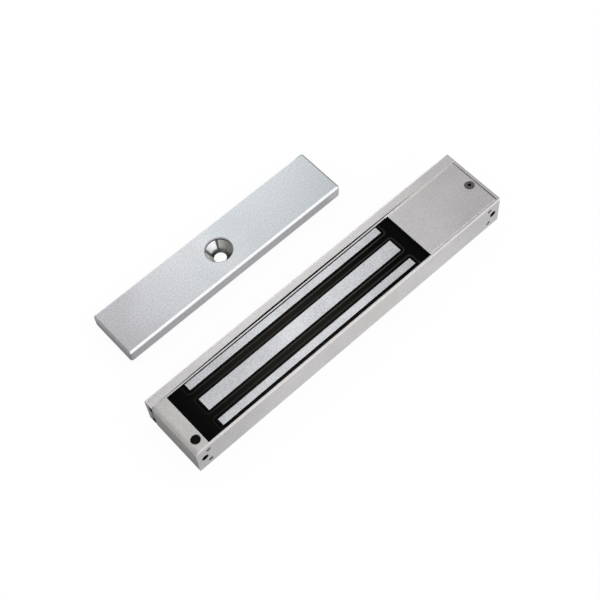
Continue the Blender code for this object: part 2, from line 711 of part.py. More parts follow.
def add_board(lock, laminate, brass, steel):
    start_x, start_y = BOARD_START
    size_x, size_y = BOARD_SIZE
    shape = bmesh.new()
    add_box(shape, (start_x, start_y, BOARD_BASE), (start_x + size_x, start_y + size_y, BOARD_TOP))
    board = add_piece("control_board", shape, laminate, lock)
    holes = bmesh.new()
    head = BOARD_SCREW_HEAD_LENGTH
    reach = BOARD_THICKNESS + 2 * GAP + BOARD_SCREW_REACH
    profile = [
        (0, -reach),
        (BOARD_SCREW_RADIUS, -reach),
        (BOARD_SCREW_RADIUS, 0),
        (BOARD_SCREW_HEAD_RADIUS, 0),
        (BOARD_SCREW_HEAD_RADIUS, head),
        (0, head),
    ]
    for number, place in enumerate(board_screw_places(), start=1):
        hole_radius = BOARD_SCREW_RADIUS + GAP
        add_rod(holes, (*place, BOARD_BASE - GAP), "Z", BOARD_THICKNESS + 2 * GAP, hole_radius, sides=16)
        pillar = bmesh.new()
        add_rod(pillar, (*place, INNER_FLOOR), "Z", BOARD_BASE - GAP - INNER_FLOOR, STANDOFF_RADIUS, sides=6)
        standoff = add_piece(f"board_standoff_{number}", pillar, brass, lock)
        bore = bmesh.new()
        add_rod(bore, (*place, INNER_FLOOR - GAP), "Z", BOARD_BASE - INNER_FLOOR + GAP, hole_radius, sides=16)
        cut(standoff, bore)
        screw = bmesh.new()
        add_turned(screw, profile, (*place, BOARD_FIT), "Z", sides=16)
        screw_piece = add_piece(f"board_screw_{number}", screw, steel, lock, (*place, BOARD_FIT))
        slot = bmesh.new()
        half_slot = TERMINAL_SCREW_SLOT / 2
        top = BOARD_FIT + head
        low = (place[0] - half_slot, place[1] - STANDOFF_RADIUS, top - head / 2)
        high = (place[0] + half_slot, place[1] + STANDOFF_RADIUS, top + GAP)
        add_box(slot, low, high)
        cut(screw_piece, slot)
    cut(board, holes)


def add_terminals(lock, plastic, steel):
    middle_x, near = TERMINAL_PLACE
    top = BOARD_FIT + TERMINAL_HEIGHT
    far = near + TERMINAL_DEPTH
    outline = [
        (near, BOARD_FIT),
        (far, BOARD_FIT),
        (far, top - TERMINAL_STEP),
        (far - TERMINAL_STEP, top),
        (near, top),
    ]
    shape = bmesh.new()
    add_prism(shape, outline, "X", middle_x - TERMINAL_PITCH, 2 * TERMINAL_PITCH)
    block = add_piece("terminal_block", shape, plastic, lock)
    openings = bmesh.new()
    screw_y = near + (TERMINAL_DEPTH - TERMINAL_STEP) / 2
    well_floor = top - TERMINAL_WELL_DEPTH
    half_mouth = TERMINAL_MOUTH_WIDTH / 2
    mouth_low = BOARD_FIT + TERMINAL_MOUTH_DEPTH - TERMINAL_MOUTH_HEIGHT
    for number, side in enumerate((-1, 1), start=1):
        along = middle_x + side * TERMINAL_PITCH / 2
        add_rod(openings, (along, screw_y, well_floor), "Z", TERMINAL_WELL_DEPTH + GAP, TERMINAL_WELL_RADIUS)
        low = (along - half_mouth, far - TERMINAL_MOUTH_DEPTH, mouth_low)
        high = (along + half_mouth, far + GAP, mouth_low + TERMINAL_MOUTH_HEIGHT)
        add_box(openings, low, high)
        place = (along, screw_y, well_floor + GAP)
        shape = bmesh.new()
        add_rod(shape, place, "Z", TERMINAL_SCREW_LENGTH, TERMINAL_SCREW_RADIUS)
        screw = add_piece(f"terminal_screw_{number}", shape, steel, lock, place)
        slot = bmesh.new()
        head_top = well_floor + GAP + TERMINAL_SCREW_LENGTH
        half_slot = TERMINAL_SCREW_SLOT / 2
        reach = TERMINAL_WELL_RADIUS
        low = (along - half_slot, screw_y - reach, head_top - TERMINAL_SCREW_SLOT)
        add_box(slot, low, (along + half_slot, screw_y + reach, head_top + GAP))
        cut(screw, slot)
    cut(block, openings)


def add_header(lock, plastic, brass):
    middle_x, middle_y = HEADER_PLACE
    base_top = BOARD_FIT + HEADER_BASE_HEIGHT
    shape = bmesh.new()
    low = (middle_x - PIN_PITCH, middle_y - PIN_PITCH, BOARD_FIT)
    add_box(shape, low, (middle_x + PIN_PITCH, middle_y + PIN_PITCH, base_top))
    header = add_piece("pin_header", shape, brass, lock)
    pins = bmesh.new()
    half_pin = HEADER_PIN_SIDE / 2
    half_pitch = PIN_PITCH / 2
    half_bore = JUMPER_BORE_SIDE / 2
    jumper_base = base_top + GAP
    for number, side_x in enumerate((-1, 1), start=1):
        pin_x = middle_x + side_x * half_pitch
        cap = bmesh.new()
        low = (pin_x - JUMPER_WIDTH / 2, middle_y - JUMPER_LENGTH / 2, jumper_base)
        high = (pin_x + JUMPER_WIDTH / 2, middle_y + JUMPER_LENGTH / 2, jumper_base + JUMPER_HEIGHT)
        add_box(cap, low, high)
        jumper = add_piece(f"jumper_{number}", cap, plastic, lock, (pin_x, middle_y, jumper_base))
        bores = bmesh.new()
        for side_y in (-1, 1):
            pin_y = middle_y + side_y * half_pitch
            low = (pin_x - half_pin, pin_y - half_pin, base_top - GAP)
            add_box(pins, low, (pin_x + half_pin, pin_y + half_pin, base_top + HEADER_PIN_HEIGHT - JUMPER_ROOF))
            low = (pin_x - half_bore, pin_y - half_bore, jumper_base - GAP)
            high = (pin_x + half_bore, pin_y + half_bore, jumper_base + JUMPER_HEIGHT - JUMPER_ROOF)
            add_box(bores, low, high)
        cut(jumper, bores)
    join(header, pins)


def add_varistor(lock, coating):
    middle_x, middle_y = VARISTOR_PLACE
    half = VARISTOR_THICKNESS / 2
    edge = VARISTOR_THICKNESS / 4
    profile = [
        (0, -half),
        (VARISTOR_RADIUS - edge, -half),
        (VARISTOR_RADIUS, -half + edge),
        (VARISTOR_RADIUS, half - edge),
        (VARISTOR_RADIUS - edge, half),
        (0, half),
    ]
    shape = bmesh.new()
    add_turned(shape, profile, (middle_x, middle_y, BOARD_FIT + VARISTOR_RADIUS), "Y")
    add_piece("varistor", shape, coating, lock)


def add_leads(lock, sheaths):
    """Each lead leaves the dam level and bends down to stand on the board."""
    start_x = DAM_START + DAM_THICKNESS - LEAD_START_DEPTH
    end_x = BOARD_START[0] + BOARD_SCREW_INSET * 2
    drop = LEAD_HEIGHT - BOARD_FIT
    for number, (across, sheath) in enumerate(zip(LEAD_PLACES, sheaths), start=1):
        curve = bpy.data.curves.new(f"lead_wire_{number}", "CURVE")
        curve.dimensions = "3D"
        curve.bevel_depth = LEAD_RADIUS
        curve.bevel_resolution = 2
        curve.use_fill_caps = True
        path = curve.splines.new("POLY")
        path.points.add(LEAD_STEPS + 1)
        straight_end = start_x + LEAD_START_DEPTH
        path.points[0].co = (start_x, across, LEAD_HEIGHT, 1)
        for step in range(LEAD_STEPS + 1):
            angle = step / LEAD_STEPS * math.pi / 2
            along = straight_end + (end_x - straight_end) * math.sin(angle)
            height = LEAD_HEIGHT - drop * (1 - math.cos(angle))
            path.points[step + 1].co = (along, across, height, 1)
        lead = bpy.data.objects.new(f"lead_wire_{number}", curve)
        curve.materials.append(sheath)
        lead.parent = lock
        bpy.context.collection.objects.link(lead)


def add_grommet(lock, rubber):
    neck = ENTRY_HOLE_RADIUS - GAP
    inner_side = CASE_WIDTH - WALL - GAP
    outer_side = CASE_WIDTH + GAP
    profile = [
        (GROMMET_BORE_RADIUS, inner_side - GROMMET_FLANGE_LENGTH),
        (GROMMET_FLANGE_RADIUS, inner_side - GROMMET_FLANGE_LENGTH),
        (GROMMET_FLANGE_RADIUS, inner_side),
        (neck, inner_side),
        (neck, outer_side),
        (GROMMET_FLANGE_RADIUS, outer_side),
        (GROMMET_FLANGE_RADIUS, outer_side + GROMMET_FLANGE_LENGTH),
        (GROMMET_BORE_RADIUS, outer_side + GROMMET_FLANGE_LENGTH),
        (GROMMET_BORE_RADIUS, inner_side - GROMMET_FLANGE_LENGTH),
    ]
    shape = bmesh.new()
    add_turned(shape, profile, (CABLE_ENTRY, 0, BOLT_HEIGHT), "Y")
    add_piece("cable_grommet", shape, rubber, lock)


def add_armature(zinc):
    """The plate lies beside the lock; its holder is on the axis that lays its face on the pole faces."""
    centre_y = SET_DEPTH / 2 - ARMATURE_WIDTH / 2
    axis_y = (centre_y + LOCK_CORNER.y + CORE_MIDDLE_Y) / 2
    axis_z = (ARMATURE_THICKNESS + POLE_HEIGHT + CLOSED_GAP) / 2
    holder = add_empty("armature_swing_axis", (ARMATURE_SHIFT, axis_y, axis_z))
    middle_y = centre_y - axis_y
    base = -axis_z
    top = base + ARMATURE_THICKNESS
    half_length = ARMATURE_LENGTH / 2
    half_width = ARMATURE_WIDTH / 2
    shape = bmesh.new()
    add_box(shape, (-half_length, middle_y - half_width, base), (half_length, middle_y + half_width, top))
    bmesh.ops.bevel(shape, geom=shape.edges, offset=ARMATURE_EDGE, affect="EDGES", segments=2, profile=0.5)
    plate = add_piece("armature_plate", shape, zinc, holder)
    cone_depth = (SINK_RADIUS - ARMATURE_BORE_RADIUS) / math.tan(SINK_HALF_ANGLE)
    profile = [
        (0, base - GAP),
        (ARMATURE_BORE_RADIUS, base - GAP),
        (ARMATURE_BORE_RADIUS, top - SINK_LEAD - cone_depth),
        (SINK_RADIUS, top - SINK_LEAD),
        (SINK_RADIUS, top + GAP),
        (0, top + GAP),
    ]
    hole = bmesh.new()
    add_turned(hole, profile, (0, middle_y, 0), "Z", sides=48)
    cut(plate, hole)
    guides = bmesh.new()
    for side in (-1, 1):
        start = (side * GUIDE_HOLE_SPACING / 2, middle_y, base - GAP)
        add_rod(guides, start, "Z", GUIDE_HOLE_DEPTH + GAP, GUIDE_HOLE_RADIUS)
    cut(plate, guides)


def main():
    clear_scene()
    anodised = finish("anodised_aluminium", (0.50, 0.48, 0.48), 0.45, 0.85)
    cast = finish("blasted_zinc_casting", (0.48, 0.47, 0.46), 0.5, 0.85)
    plated = finish("ground_plated_steel", (0.58, 0.59, 0.61), 0.4, 0.9)
    zinc = finish("zinc_plated_steel", (0.62, 0.63, 0.65), 0.4, 0.9)
    dark_steel = finish("dark_screw_steel", (0.20, 0.20, 0.20), 0.35, 1)
    epoxy = finish("black_epoxy", (0.006, 0.006, 0.005), 0.25, 0)
    rubber = finish("black_rubber", (0.008, 0.008, 0.008), 0.7, 0)
    nylon = finish("black_nylon", (0.012, 0.012, 0.012), 0.5, 0)
    copper = finish("enamelled_copper", (0.55, 0.22, 0.09), 0.3, 1)
    laminate = finish("green_board_laminate", (0.02, 0.16, 0.05), 0.4, 0)
    brass = finish("brass", (0.72, 0.50, 0.18), 0.3, 1)
    green_plastic = finish("green_terminal_plastic", (0.03, 0.30, 0.10), 0.45, 0)
    blue_coating = finish("blue_dipped_coating", (0.02, 0.08, 0.35), 0.35, 0)
    red_sheath = finish("red_wire_sheath", (0.45, 0.02, 0.015), 0.45, 0)
    black_sheath = finish("black_wire_sheath", (0.01, 0.01, 0.01), 0.45, 0)

    lock = add_empty("lock_corner", LOCK_CORNER)
    add_case(lock, anodised)
    add_left_block(lock, cast)
    add_right_block(lock, cast)
    add_end_pins(lock, plated)
    add_mount_bolts(lock, dark_steel)
    add_mounting_plate(lock, anodised)
    add_core(lock, plated)
    add_coil(lock, nylon, copper)
    add_potting(lock, epoxy)
    add_dam(lock, nylon)
    add_cover(lock, anodised, dark_steel)
    add_plug(lock, rubber)
    add_board(lock, laminate, brass, plated)
    add_terminals(lock, green_plastic, plated)
    add_header(lock, nylon, brass)
    add_varistor(lock, blue_coating)
    add_leads(lock, (red_sheath, black_sheath))
    add_grommet(lock, rubber)
    add_armature(zinc)


main()
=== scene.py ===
import math
from functools import partial

import bmesh
import bpy
from mathutils import Matrix, Vector


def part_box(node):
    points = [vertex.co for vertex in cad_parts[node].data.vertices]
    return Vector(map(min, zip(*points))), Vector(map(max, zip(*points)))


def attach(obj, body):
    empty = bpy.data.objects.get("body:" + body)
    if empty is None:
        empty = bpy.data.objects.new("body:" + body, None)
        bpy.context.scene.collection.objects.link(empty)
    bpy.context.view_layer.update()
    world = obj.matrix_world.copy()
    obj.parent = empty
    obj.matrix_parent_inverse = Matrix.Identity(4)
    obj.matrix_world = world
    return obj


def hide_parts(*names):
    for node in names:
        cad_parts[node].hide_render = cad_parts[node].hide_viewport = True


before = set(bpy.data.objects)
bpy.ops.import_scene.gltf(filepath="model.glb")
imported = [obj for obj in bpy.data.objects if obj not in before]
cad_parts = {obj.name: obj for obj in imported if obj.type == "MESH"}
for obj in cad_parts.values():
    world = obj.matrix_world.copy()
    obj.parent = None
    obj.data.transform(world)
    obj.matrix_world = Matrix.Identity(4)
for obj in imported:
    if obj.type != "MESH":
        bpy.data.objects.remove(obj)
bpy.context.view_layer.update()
mm = 0.001
fit = 0.3  # the clearance between neighbouring pieces, in mm
hair = 0.01  # places closer than this count as one, in mm
past = 1  # how far a cutter reaches past what it cuts, in mm
drillPast = 0.6  # the same for a drill
squareStart = -drillPast  # a drill's mouth without a flare
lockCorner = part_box("case_channel")[0]
turn = {"X": Matrix.Rotation(math.pi / 2, 4, "Y"), "Y": Matrix.Rotation(-math.pi / 2, 4, "X"),
        "Z": Matrix.Identity(4)}
print("frame loaded with", len(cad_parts), "nodes")


# Small helpers for finishes

def linear(code):
    values = [int(code[start:start + 2], 16) / 255 for start in (1, 3, 5)]
    return [v / 12.92 if v <= 0.04045 else ((v + 0.055) / 1.055) ** 2.4 for v in values] + [1]


def perMm(size):
    return 1 / (size * mm)  # noise scale that gives features of this size


def wavePerMm(size):
    return 2 * math.pi / (20 * size * mm)  # wave scale that gives bands of this pitch


def setInputs(node, inputs):
    for name, value in inputs.items():
        if isinstance(value, bpy.types.Node):
            value = value.outputs[0]  # a node stands for its first output
        if isinstance(value, bpy.types.NodeSocket):
            node.id_data.links.new(value, node.inputs[name])
        else:
            node.inputs[name].default_value = value


def addNode(tree, kind, inputs=None, stops=(), **settings):
    made = tree.nodes.new("ShaderNode" + kind)
    for name, value in settings.items():
        setattr(made, name, value)
    setInputs(made, inputs or {})
    for number, (position, code, *cover) in enumerate(stops):
        ramp = made.color_ramp.elements
        element = ramp[number] if number < len(ramp) else ramp.new(1)
        element.position = position
        element.color = linear(code)[:3] + (cover or [1])
    return made


def startFinish(name, **look):
    finish = bpy.data.materials.new(name)
    finish.use_nodes = True
    shader = finish.node_tree.nodes["Principled BSDF"]
    setInputs(shader, {word.replace("_", " "): value for word, value in look.items()})
    add = partial(addNode, finish.node_tree)
    return finish, add, shader, add("TexCoord").outputs["Object"]


# Finishes

# Extruded aluminium, bead blasted and clear anodised: satin, faintly warm, with a fine sparkle.
# The 0.15 mm blasting grit is drawn at 0.7 mm, so that it shows in a 600 pixel picture.
def blastedAnodisedAluminium(name, dark, light, rough):
    finish, add, shader, place = startFinish(name, Metallic=1.0)
    grit = add("TexNoise", {"Vector": place, "Scale": perMm(0.7), "Detail": 3, "Roughness": 0.6})
    cloud = add("TexNoise", {"Vector": place, "Scale": perMm(28), "Detail": 2})
    blend = add("Math", {0: cloud, 1: 0.25}, operation="MULTIPLY")
    speck = add("Math", {0: grit, 1: 0.75, 2: blend}, operation="MULTIPLY_ADD")
    tone = add("ValToRGB", {"Fac": speck}, [(0.34, dark), (0.66, light)])
    sheen = add("MapRange", {"Value": grit, "To Min": rough - 0.06, "To Max": rough + 0.06})
    bump = add("Bump", {"Height": grit, "Strength": 0.25, "Distance": 0.03 * mm})
    setInputs(shader, {"Base Color": tone, "Roughness": sheen, "Normal": bump})
    return finish


# Stacked steel sheets, ground flat and nickel plated: cool grey, speckled, with faint lines across.
# The 0.5 mm sheets are drawn 1 mm thick, so that the lines show.
def groundPlatedLaminations():
    finish, add, shader, place = startFinish("groundPlatedLaminations", Metallic=1.0)
    sheets = add("TexWave", {"Vector": place, "Scale": wavePerMm(1), "Distortion": 0.6, "Detail": 1},
                 wave_type="BANDS", bands_direction="X", wave_profile="SIN").outputs["Fac"]
    speck = add("TexNoise", {"Vector": place, "Scale": perMm(0.9), "Detail": 4, "Roughness": 0.7})
    cloud = add("TexNoise", {"Vector": place, "Scale": perMm(22), "Detail": 2})
    lines = add("Math", {0: sheets, 1: 0.05}, operation="MULTIPLY")
    grain = add("Math", {0: speck, 1: 0.75, 2: lines}, operation="MULTIPLY_ADD")
    mixed = add("Math", {0: cloud, 1: 0.2, 2: grain}, operation="MULTIPLY_ADD")
    tone = add("ValToRGB", {"Fac": mixed}, [(0.36, "#9fa0a3"), (0.64, "#d1d2d5")])
    sheen = add("MapRange", {"Value": speck, "To Min": 0.24, "To Max": 0.4})
    bump = add("Bump", {"Height": mixed, "Strength": 0.2, "Distance": 0.03 * mm})
    setInputs(shader, {"Base Color": tone, "Roughness": sheen, "Normal": bump})
    return finish


# Mild steel, ground and zinc plated: cool light grey with a faint blue green cast and a sandy grain.
# The 0.2 mm grain is drawn at 1 mm, so that it shows in a 600 pixel picture.
def groundZincSteel():
    finish, add, shader, place = startFinish("groundZincSteel", Metallic=1.0)
    grain = add("TexNoise", {"Vector": place, "Scale": perMm(1.0), "Detail": 3, "Roughness": 0.65})
    cast = add("TexNoise", {"Vector": place, "Scale": perMm(45), "Detail": 2, "Distortion": 0.6})
    spot = add("SeparateXYZ", {0: place}).outputs
    along = add("MapRange", {"Value": spot["X"], "From Min": -110 * mm, "From Max": 65 * mm})
    mixed = add("Math", {0: cast, 1: 0.6, 2: along}, operation="MULTIPLY_ADD")
    # the cast grows along the plate
    wash = add("ValToRGB", {"Fac": mixed}, [(0.36, "#c6c6ca"), (0.46, "#cacace"), (0.57, "#d0d1d5"),
                                            (0.7, "#cdd0d3"), (0.95, "#bcc1c4")])
    fine = add("MapRange", {"Value": grain, "From Min": 0.25, "From Max": 0.75, "To Min": 0.7,
                            "To Max": 1.24})
    # painted shade: the plate is darker along the side that faces the lock and lighter towards its far side
    across = add("MapRange", {"Value": spot["Y"], "From Min": 23 * mm, "From Max": 60 * mm, "To Min": 0.92,
                              "To Max": 1.06})
    grainAndPaintedShade = add("Math", {0: fine, 1: across}, operation="MULTIPLY")
    tone = add("VectorMath", {0: wash, "Scale": grainAndPaintedShade}, operation="SCALE")
    sheen = add("MapRange", {"Value": grain, "To Min": 0.24, "To Max": 0.4})
    bump = add("Bump", {"Height": grain, "Strength": 0.15, "Distance": 0.02 * mm})
    setInputs(shader, {"Base Color": tone, "Roughness": sheen, "Normal": bump})
    return finish


# Countersunk steel, left bright, with fine rings from the tool. Its bright and dull sectors are painted
# reflections, and the deep half is darker with painted shade. The rings lean back, so that the upper half
# shows the sky.
def turnedBrightSteel(centre):
    finish, add, shader, place = startFinish("turnedBrightSteel", Metallic=1.0)
    about = add("Mapping", {"Vector": place, "Location": -centre})
    depth = add("SeparateXYZ", {0: about}).outputs["Z"]
    sector = add("TexGradient", {"Vector": about}, gradient_type="RADIAL").outputs["Fac"]
    # painted reflections: each sector's grey, white where a bright light was mirrored
    start = [(0.0, "#f0f1ec"), (0.17, "#cfd0cb"), (0.22, "#4a4c4a"), (0.35, "#4a4c48")]
    end = [(0.915, "#f0f1ec")]
    upperReflectionStops = [(0.4, "#7f8178"), (0.52, "#8c8e85"), (0.6, "#a8aaa4"), (0.645, "#b4b5b1"),
                 (0.664, "#4a4d4f"), (0.682, "#4a4d4f"), (0.7, "#ffffff"), (0.835, "#ffffff"),
                 (0.86, "#707274"), (0.885, "#707274")]
    deepShadeStops = [(0.42, "#5f615b"), (0.6, "#6a6c66"), (0.68, "#46494b"), (0.87, "#46494b")]
    upper = add("ValToRGB", {"Fac": sector}, start + upperReflectionStops + end)
    deep = add("ValToRGB", {"Fac": sector}, start + deepShadeStops + end)
    # painted shade: the deep half of the hole takes the darker stops
    height = add("MapRange", {"Value": depth, "From Min": -2.5 * mm, "From Max": -0.9 * mm})
    paintedReflections = add("Mix", {0: height, 6: deep, 7: upper}, data_type="RGBA").outputs[2]
    rings = add("TexWave", {"Vector": place, "Scale": wavePerMm(0.9), "Distortion": 0.4, "Detail": 2},
                wave_type="BANDS", bands_direction="Z").outputs["Fac"]
    torn = add("TexNoise", {"Vector": place, "Scale": perMm(1.1), "Detail": 3, "Roughness": 0.7})
    mixed = add("Math", {0: rings, 1: 0.3, 2: torn}, operation="MULTIPLY_ADD")
    fine = add("MapRange", {"Value": mixed, "From Min": 0.4, "From Max": 0.8, "To Min": 0.72,
                            "To Max": 1.26})
    tone = add("VectorMath", {0: paintedReflections, "Scale": fine}, operation="SCALE")
    sheen = add("MapRange", {"Value": paintedReflections, "To Min": 0.15, "To Max": 0.5})
    lean = add("Bump", {"Height": depth, "Strength": 1.0, "Distance": 0.5}, invert=True)
    bump = add("Bump", {"Height": rings, "Strength": 1.0, "Distance": 0.06 * mm, "Normal": lean})
    setInputs(shader, {"Base Color": tone, "Roughness": sheen, "Normal": bump})
    return finish


# Epoxy poured round the coil: near black and glossy, with a slow ripple and fine dust.
# Along the lock its tone is lighter in the middle and near black at both ends.
def pouredBlackEpoxy(name, shine, stops):
    finish, add, shader, place = startFinish(name, IOR=1.55, Specular_IOR_Level=shine)
    dust = add("TexNoise", {"Vector": place, "Scale": perMm(0.8), "Detail": 4, "Roughness": 0.7})
    ripple = add("TexNoise", {"Vector": place, "Scale": perMm(9), "Detail": 2})
    spot = add("SeparateXYZ", {0: place}).outputs
    along = add("MapRange", {"Value": spot["X"], "From Min": -110 * mm, "From Max": 65 * mm})
    most = add("ValToRGB", {"Fac": along}, stops)
    fine = add("MapRange", {"Value": dust, "From Min": 0.2, "From Max": 0.8, "To Min": 0.5, "To Max": 1.5})
    tone = add("VectorMath", {0: most, "Scale": fine}, operation="SCALE")
    sheen = add("MapRange", {"Value": ripple, "To Min": 0.3, "To Max": 0.45})
    bump = add("Bump", {"Height": ripple, "Strength": 0.4, "Distance": 0.1 * mm})
    setInputs(shader, {"Base Color": tone, "Roughness": sheen, "Normal": bump})
    return finish


# Glass laminate under green solder mask: glossy, with the weave and copper showing faintly through
def solderMaskLaminate():
    finish, add, shader, place = startFinish("solderMaskLaminate", IOR=1.5, Roughness=0.3)
    weave = add("TexChecker", {"Vector": place, "Scale": perMm(0.5), "Color1": linear("#14491f"),
                               "Color2": linear("#1a5527")})
    cloud = add("TexNoise", {"Vector": place, "Scale": perMm(4), "Detail": 2})
    depth = add("MapRange", {"Value": cloud, "To Min": 0.8, "To Max": 1.2})
    tone = add("VectorMath", {0: weave, "Scale": depth}, operation="SCALE")
    setInputs(shader, {"Base Color": tone})
    return finish


# One fine grain that shifts both tone and gloss, as on small metal and plastic parts
def grainedFinish(name, dark, light, rough, grainSize, spread=0.06, detail=3, lightStop=0.7, relief=0,
                  **look):
    finish, add, shader, place = startFinish(name, **look)
    grain = add("TexNoise", {"Vector": place, "Scale": perMm(grainSize), "Detail": detail})
    tone = add("ValToRGB", {"Fac": grain}, [(0.3, dark), (lightStop, light)])
    sheen = add("MapRange", {"Value": grain, "To Min": rough - spread, "To Max": rough + spread})
    setInputs(shader, {"Base Color": tone, "Roughness": sheen})
    if relief:
        bump = add("Bump", {"Height": grain, "Strength": relief, "Distance": 0.02 * mm})
        setInputs(shader, {"Normal": bump})
    return finish


# Bare, plated and stained metals: even in tone, with a soft shine
def softMetal(name, dark, light, rough, grainSize, **more):
    return grainedFinish(name, dark, light, rough, grainSize, Metallic=1.0, **more)


# Moulded plastics and rubber: one colour with a fine mould texture, differing in gloss
def mouldedPlastic(name, dark, light, rough, grainSize, shine=0.5):
    return grainedFinish(name, dark, light, rough, grainSize, spread=0.07, relief=0.2, IOR=1.5,
                         Specular_IOR_Level=shine)


caseFinish = blastedAnodisedAluminium("blastedAnodisedAluminium", "#b4b2b2", "#d2d0d0", 0.4)
plateFinish = blastedAnodisedAluminium("blastedPlateAluminium", "#bbb9b9", "#dad8d8", 0.4)
castFinish = blastedAnodisedAluminium("blastedCastAluminium", "#b1afae", "#cecccb", 0.42)
poleFinish = groundPlatedLaminations()
armatureFinish = groundZincSteel()
sinkFinish = turnedBrightSteel(sum(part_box("armature_plate"), Vector()) / 2)
boardFinish = solderMaskLaminate()
epoxyFinish = pouredBlackEpoxy("pouredBlackEpoxy", 0.02, [(0.0, "#040404"), (0.09, "#0d0c0b"),
                                                          (0.26, "#181715"), (0.5, "#1a1917"),
                                                          (0.71, "#100f0d"), (0.88, "#040404")])
# painted highlight over dust for the moats' rounded edges, the far facing ones lighter
nearDustAndHighlightFinish = pouredBlackEpoxy("epoxyNearEdgeDustAndHighlight", 0.1, [
    (0.02, "#090807"), (0.28, "#282723"), (0.85, "#282723"), (0.97, "#171614")])
farDustAndHighlightFinish = pouredBlackEpoxy("epoxyFarEdgeDustAndHighlight", 0.1, [(0.02, "#090807"), (0.09, "#2b2a27"),
                                                             (0.26, "#383732"), (0.5, "#41403b"),
                                                             (0.85, "#494741"), (0.97, "#1b1a17")])
rubberFinish = mouldedPlastic("mouldedBlackRubber", "#050505", "#0d0d0c", 0.62, 0.4, 0.06)  # dull black
nylonFinish = mouldedPlastic("mouldedBlackNylon", "#060606", "#10100f", 0.45, 0.6, 0.12)  # black, half gloss
greenFinish = mouldedPlastic("mouldedGreenPolyamide", "#22763c", "#2d8a49", 0.42, 0.8)  # mid green
blueFinish = mouldedPlastic("dippedBlueEpoxy", "#173a86", "#2150a8", 0.28, 2.5)  # glossy, uneven dip
redSheathFinish = mouldedPlastic("extrudedRedVinyl", "#a51712", "#bd2119", 0.4, 0.9)  # the coil's first lead
blackSheathFinish = mouldedPlastic("extrudedBlackVinyl", "#101010", "#1c1c1b", 0.4, 0.9)  # and its second
# aluminium along its edges, made bright with painted highlight
edgeHighlightFinish = softMetal("paintedHighlightAluminiumEdge", "#d2cfcd", "#ebe8e6", 0.31, 2.5, spread=0.09, lightStop=0.65)
sawnFinish = softMetal("sawnAluminium", "#918f8e", "#aaa8a7", 0.44, 0.6)  # the channel's cut ends
stainAndShadeFinish = softMetal("aluminiumStainAndShade", "#1a1a19", "#2c2b2a", 0.5, 0.5)  # painted shade in holes, and epoxy stain with painted shade on the walls
labelFinish = softMetal("blankSilverFoil", "#b7b5b4", "#c9c7c6", 0.36, 1.2)  # flat and a little bright
nickelFinish = softMetal("nickelPlatedSteel", "#8d8c8b", "#b3b2b0", 0.325, 0.5, spread=0.075)  # bright
# the cover screw: steel darkened all over with painted shade, patchy
shadedScrewFinish = softMetal("screwSteelPaintedShade", "#4a4a48", "#7a7977", 0.365, 0.6, spread=0.085, detail=4)
shadedWallFinish = softMetal("steelWallPaintedShade", "#34373a", "#505356", 0.4, 0.7)  # the hole's cut walls, dark with painted shade
oxideAndShadeFinish = softMetal("blackOxideAndShadeSteel", "#0e0e0e", "#1d1d1c", 0.45, 0.6)  # dull black: bolts, partly painted shade, and painted shade in plate slots and a socket
pinFinish = softMetal("wornPinSteel", "#807f7d", "#a09f9d", 0.4, 0.5)  # grey pin ends
stainedPinFinish = softMetal("stainedPinSteel", "#5a5958", "#7c7b79", 0.4, 0.5)  # the dirtiest of them
plateEdgeFinish = softMetal("sawnAndShadedZincSteel", "#a6a6aa", "#bebec2", 0.42, 0.8)  # the armature's dull sides, darker with painted shade
plateRimHighlightFinish = softMetal("zincSteelRimHighlight", "#dfe0e2", "#f0f0f1", 0.28, 1.2)  # painted highlight on its long edges
plateEndFinish = softMetal("shearedAndShadedZincSteel", "#b2b2b6", "#c8c8cc", 0.44, 0.8)  # its two ends, darker with painted shade
brassFinish = softMetal("turnedBrass", "#b08a45", "#cfab63", 0.28, 0.6)  # yellow, lightly polished
goldFinish = softMetal("goldFlashedPins", "#c9a24e", "#e3c272", 0.22, 0.5)  # thin bright gold
tinFinish = softMetal("reflowedTin", "#b4b5b7", "#d9dadb", 0.2, 0.8)  # smooth bright solder
copperFinish = softMetal("enamelledCopper", "#7d3b18", "#b05c2a", 0.3, 0.5)  # red brown under clear enamel
print("finishes made")


# Shape helpers: everything is drawn in mm from the lock's low near left corner

def nodeBox(name):
    low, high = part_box(name)
    return (low - lockCorner) / mm, (high - lockCorner) / mm


def middleOf(node):
    low, high = nodeBox(node)
    return (low + high) / 2


def footOf(node):
    return middleOf(node) * Vector((1, 1, 0))  # the middle seen from above


def newBlock(low, high):
    shape = bmesh.new()
    low, high = Vector(low), Vector(high)
    place = Matrix.Translation((low + high) / 2) @ Matrix.Diagonal((*(high - low), 1))
    bmesh.ops.create_cube(shape, size=1, matrix=place)
    return shape


def extrudeOutline(outline, axis, start, length):
    shape = bmesh.new()
    spots = []
    for first, second in outline:
        spot = [first, second]
        spot.insert("XYZ".index(axis), start)
        spots.append(shape.verts.new(spot))
    grown = bmesh.ops.extrude_face_region(shape, geom=[shape.faces.new(spots)])["geom"]
    moved = [part for part in grown if isinstance(part, bmesh.types.BMVert)]
    bmesh.ops.translate(shape, verts=moved, vec=[length if letter == axis else 0 for letter in "XYZ"])
    bmesh.ops.recalc_face_normals(shape, faces=shape.faces)
    return shape


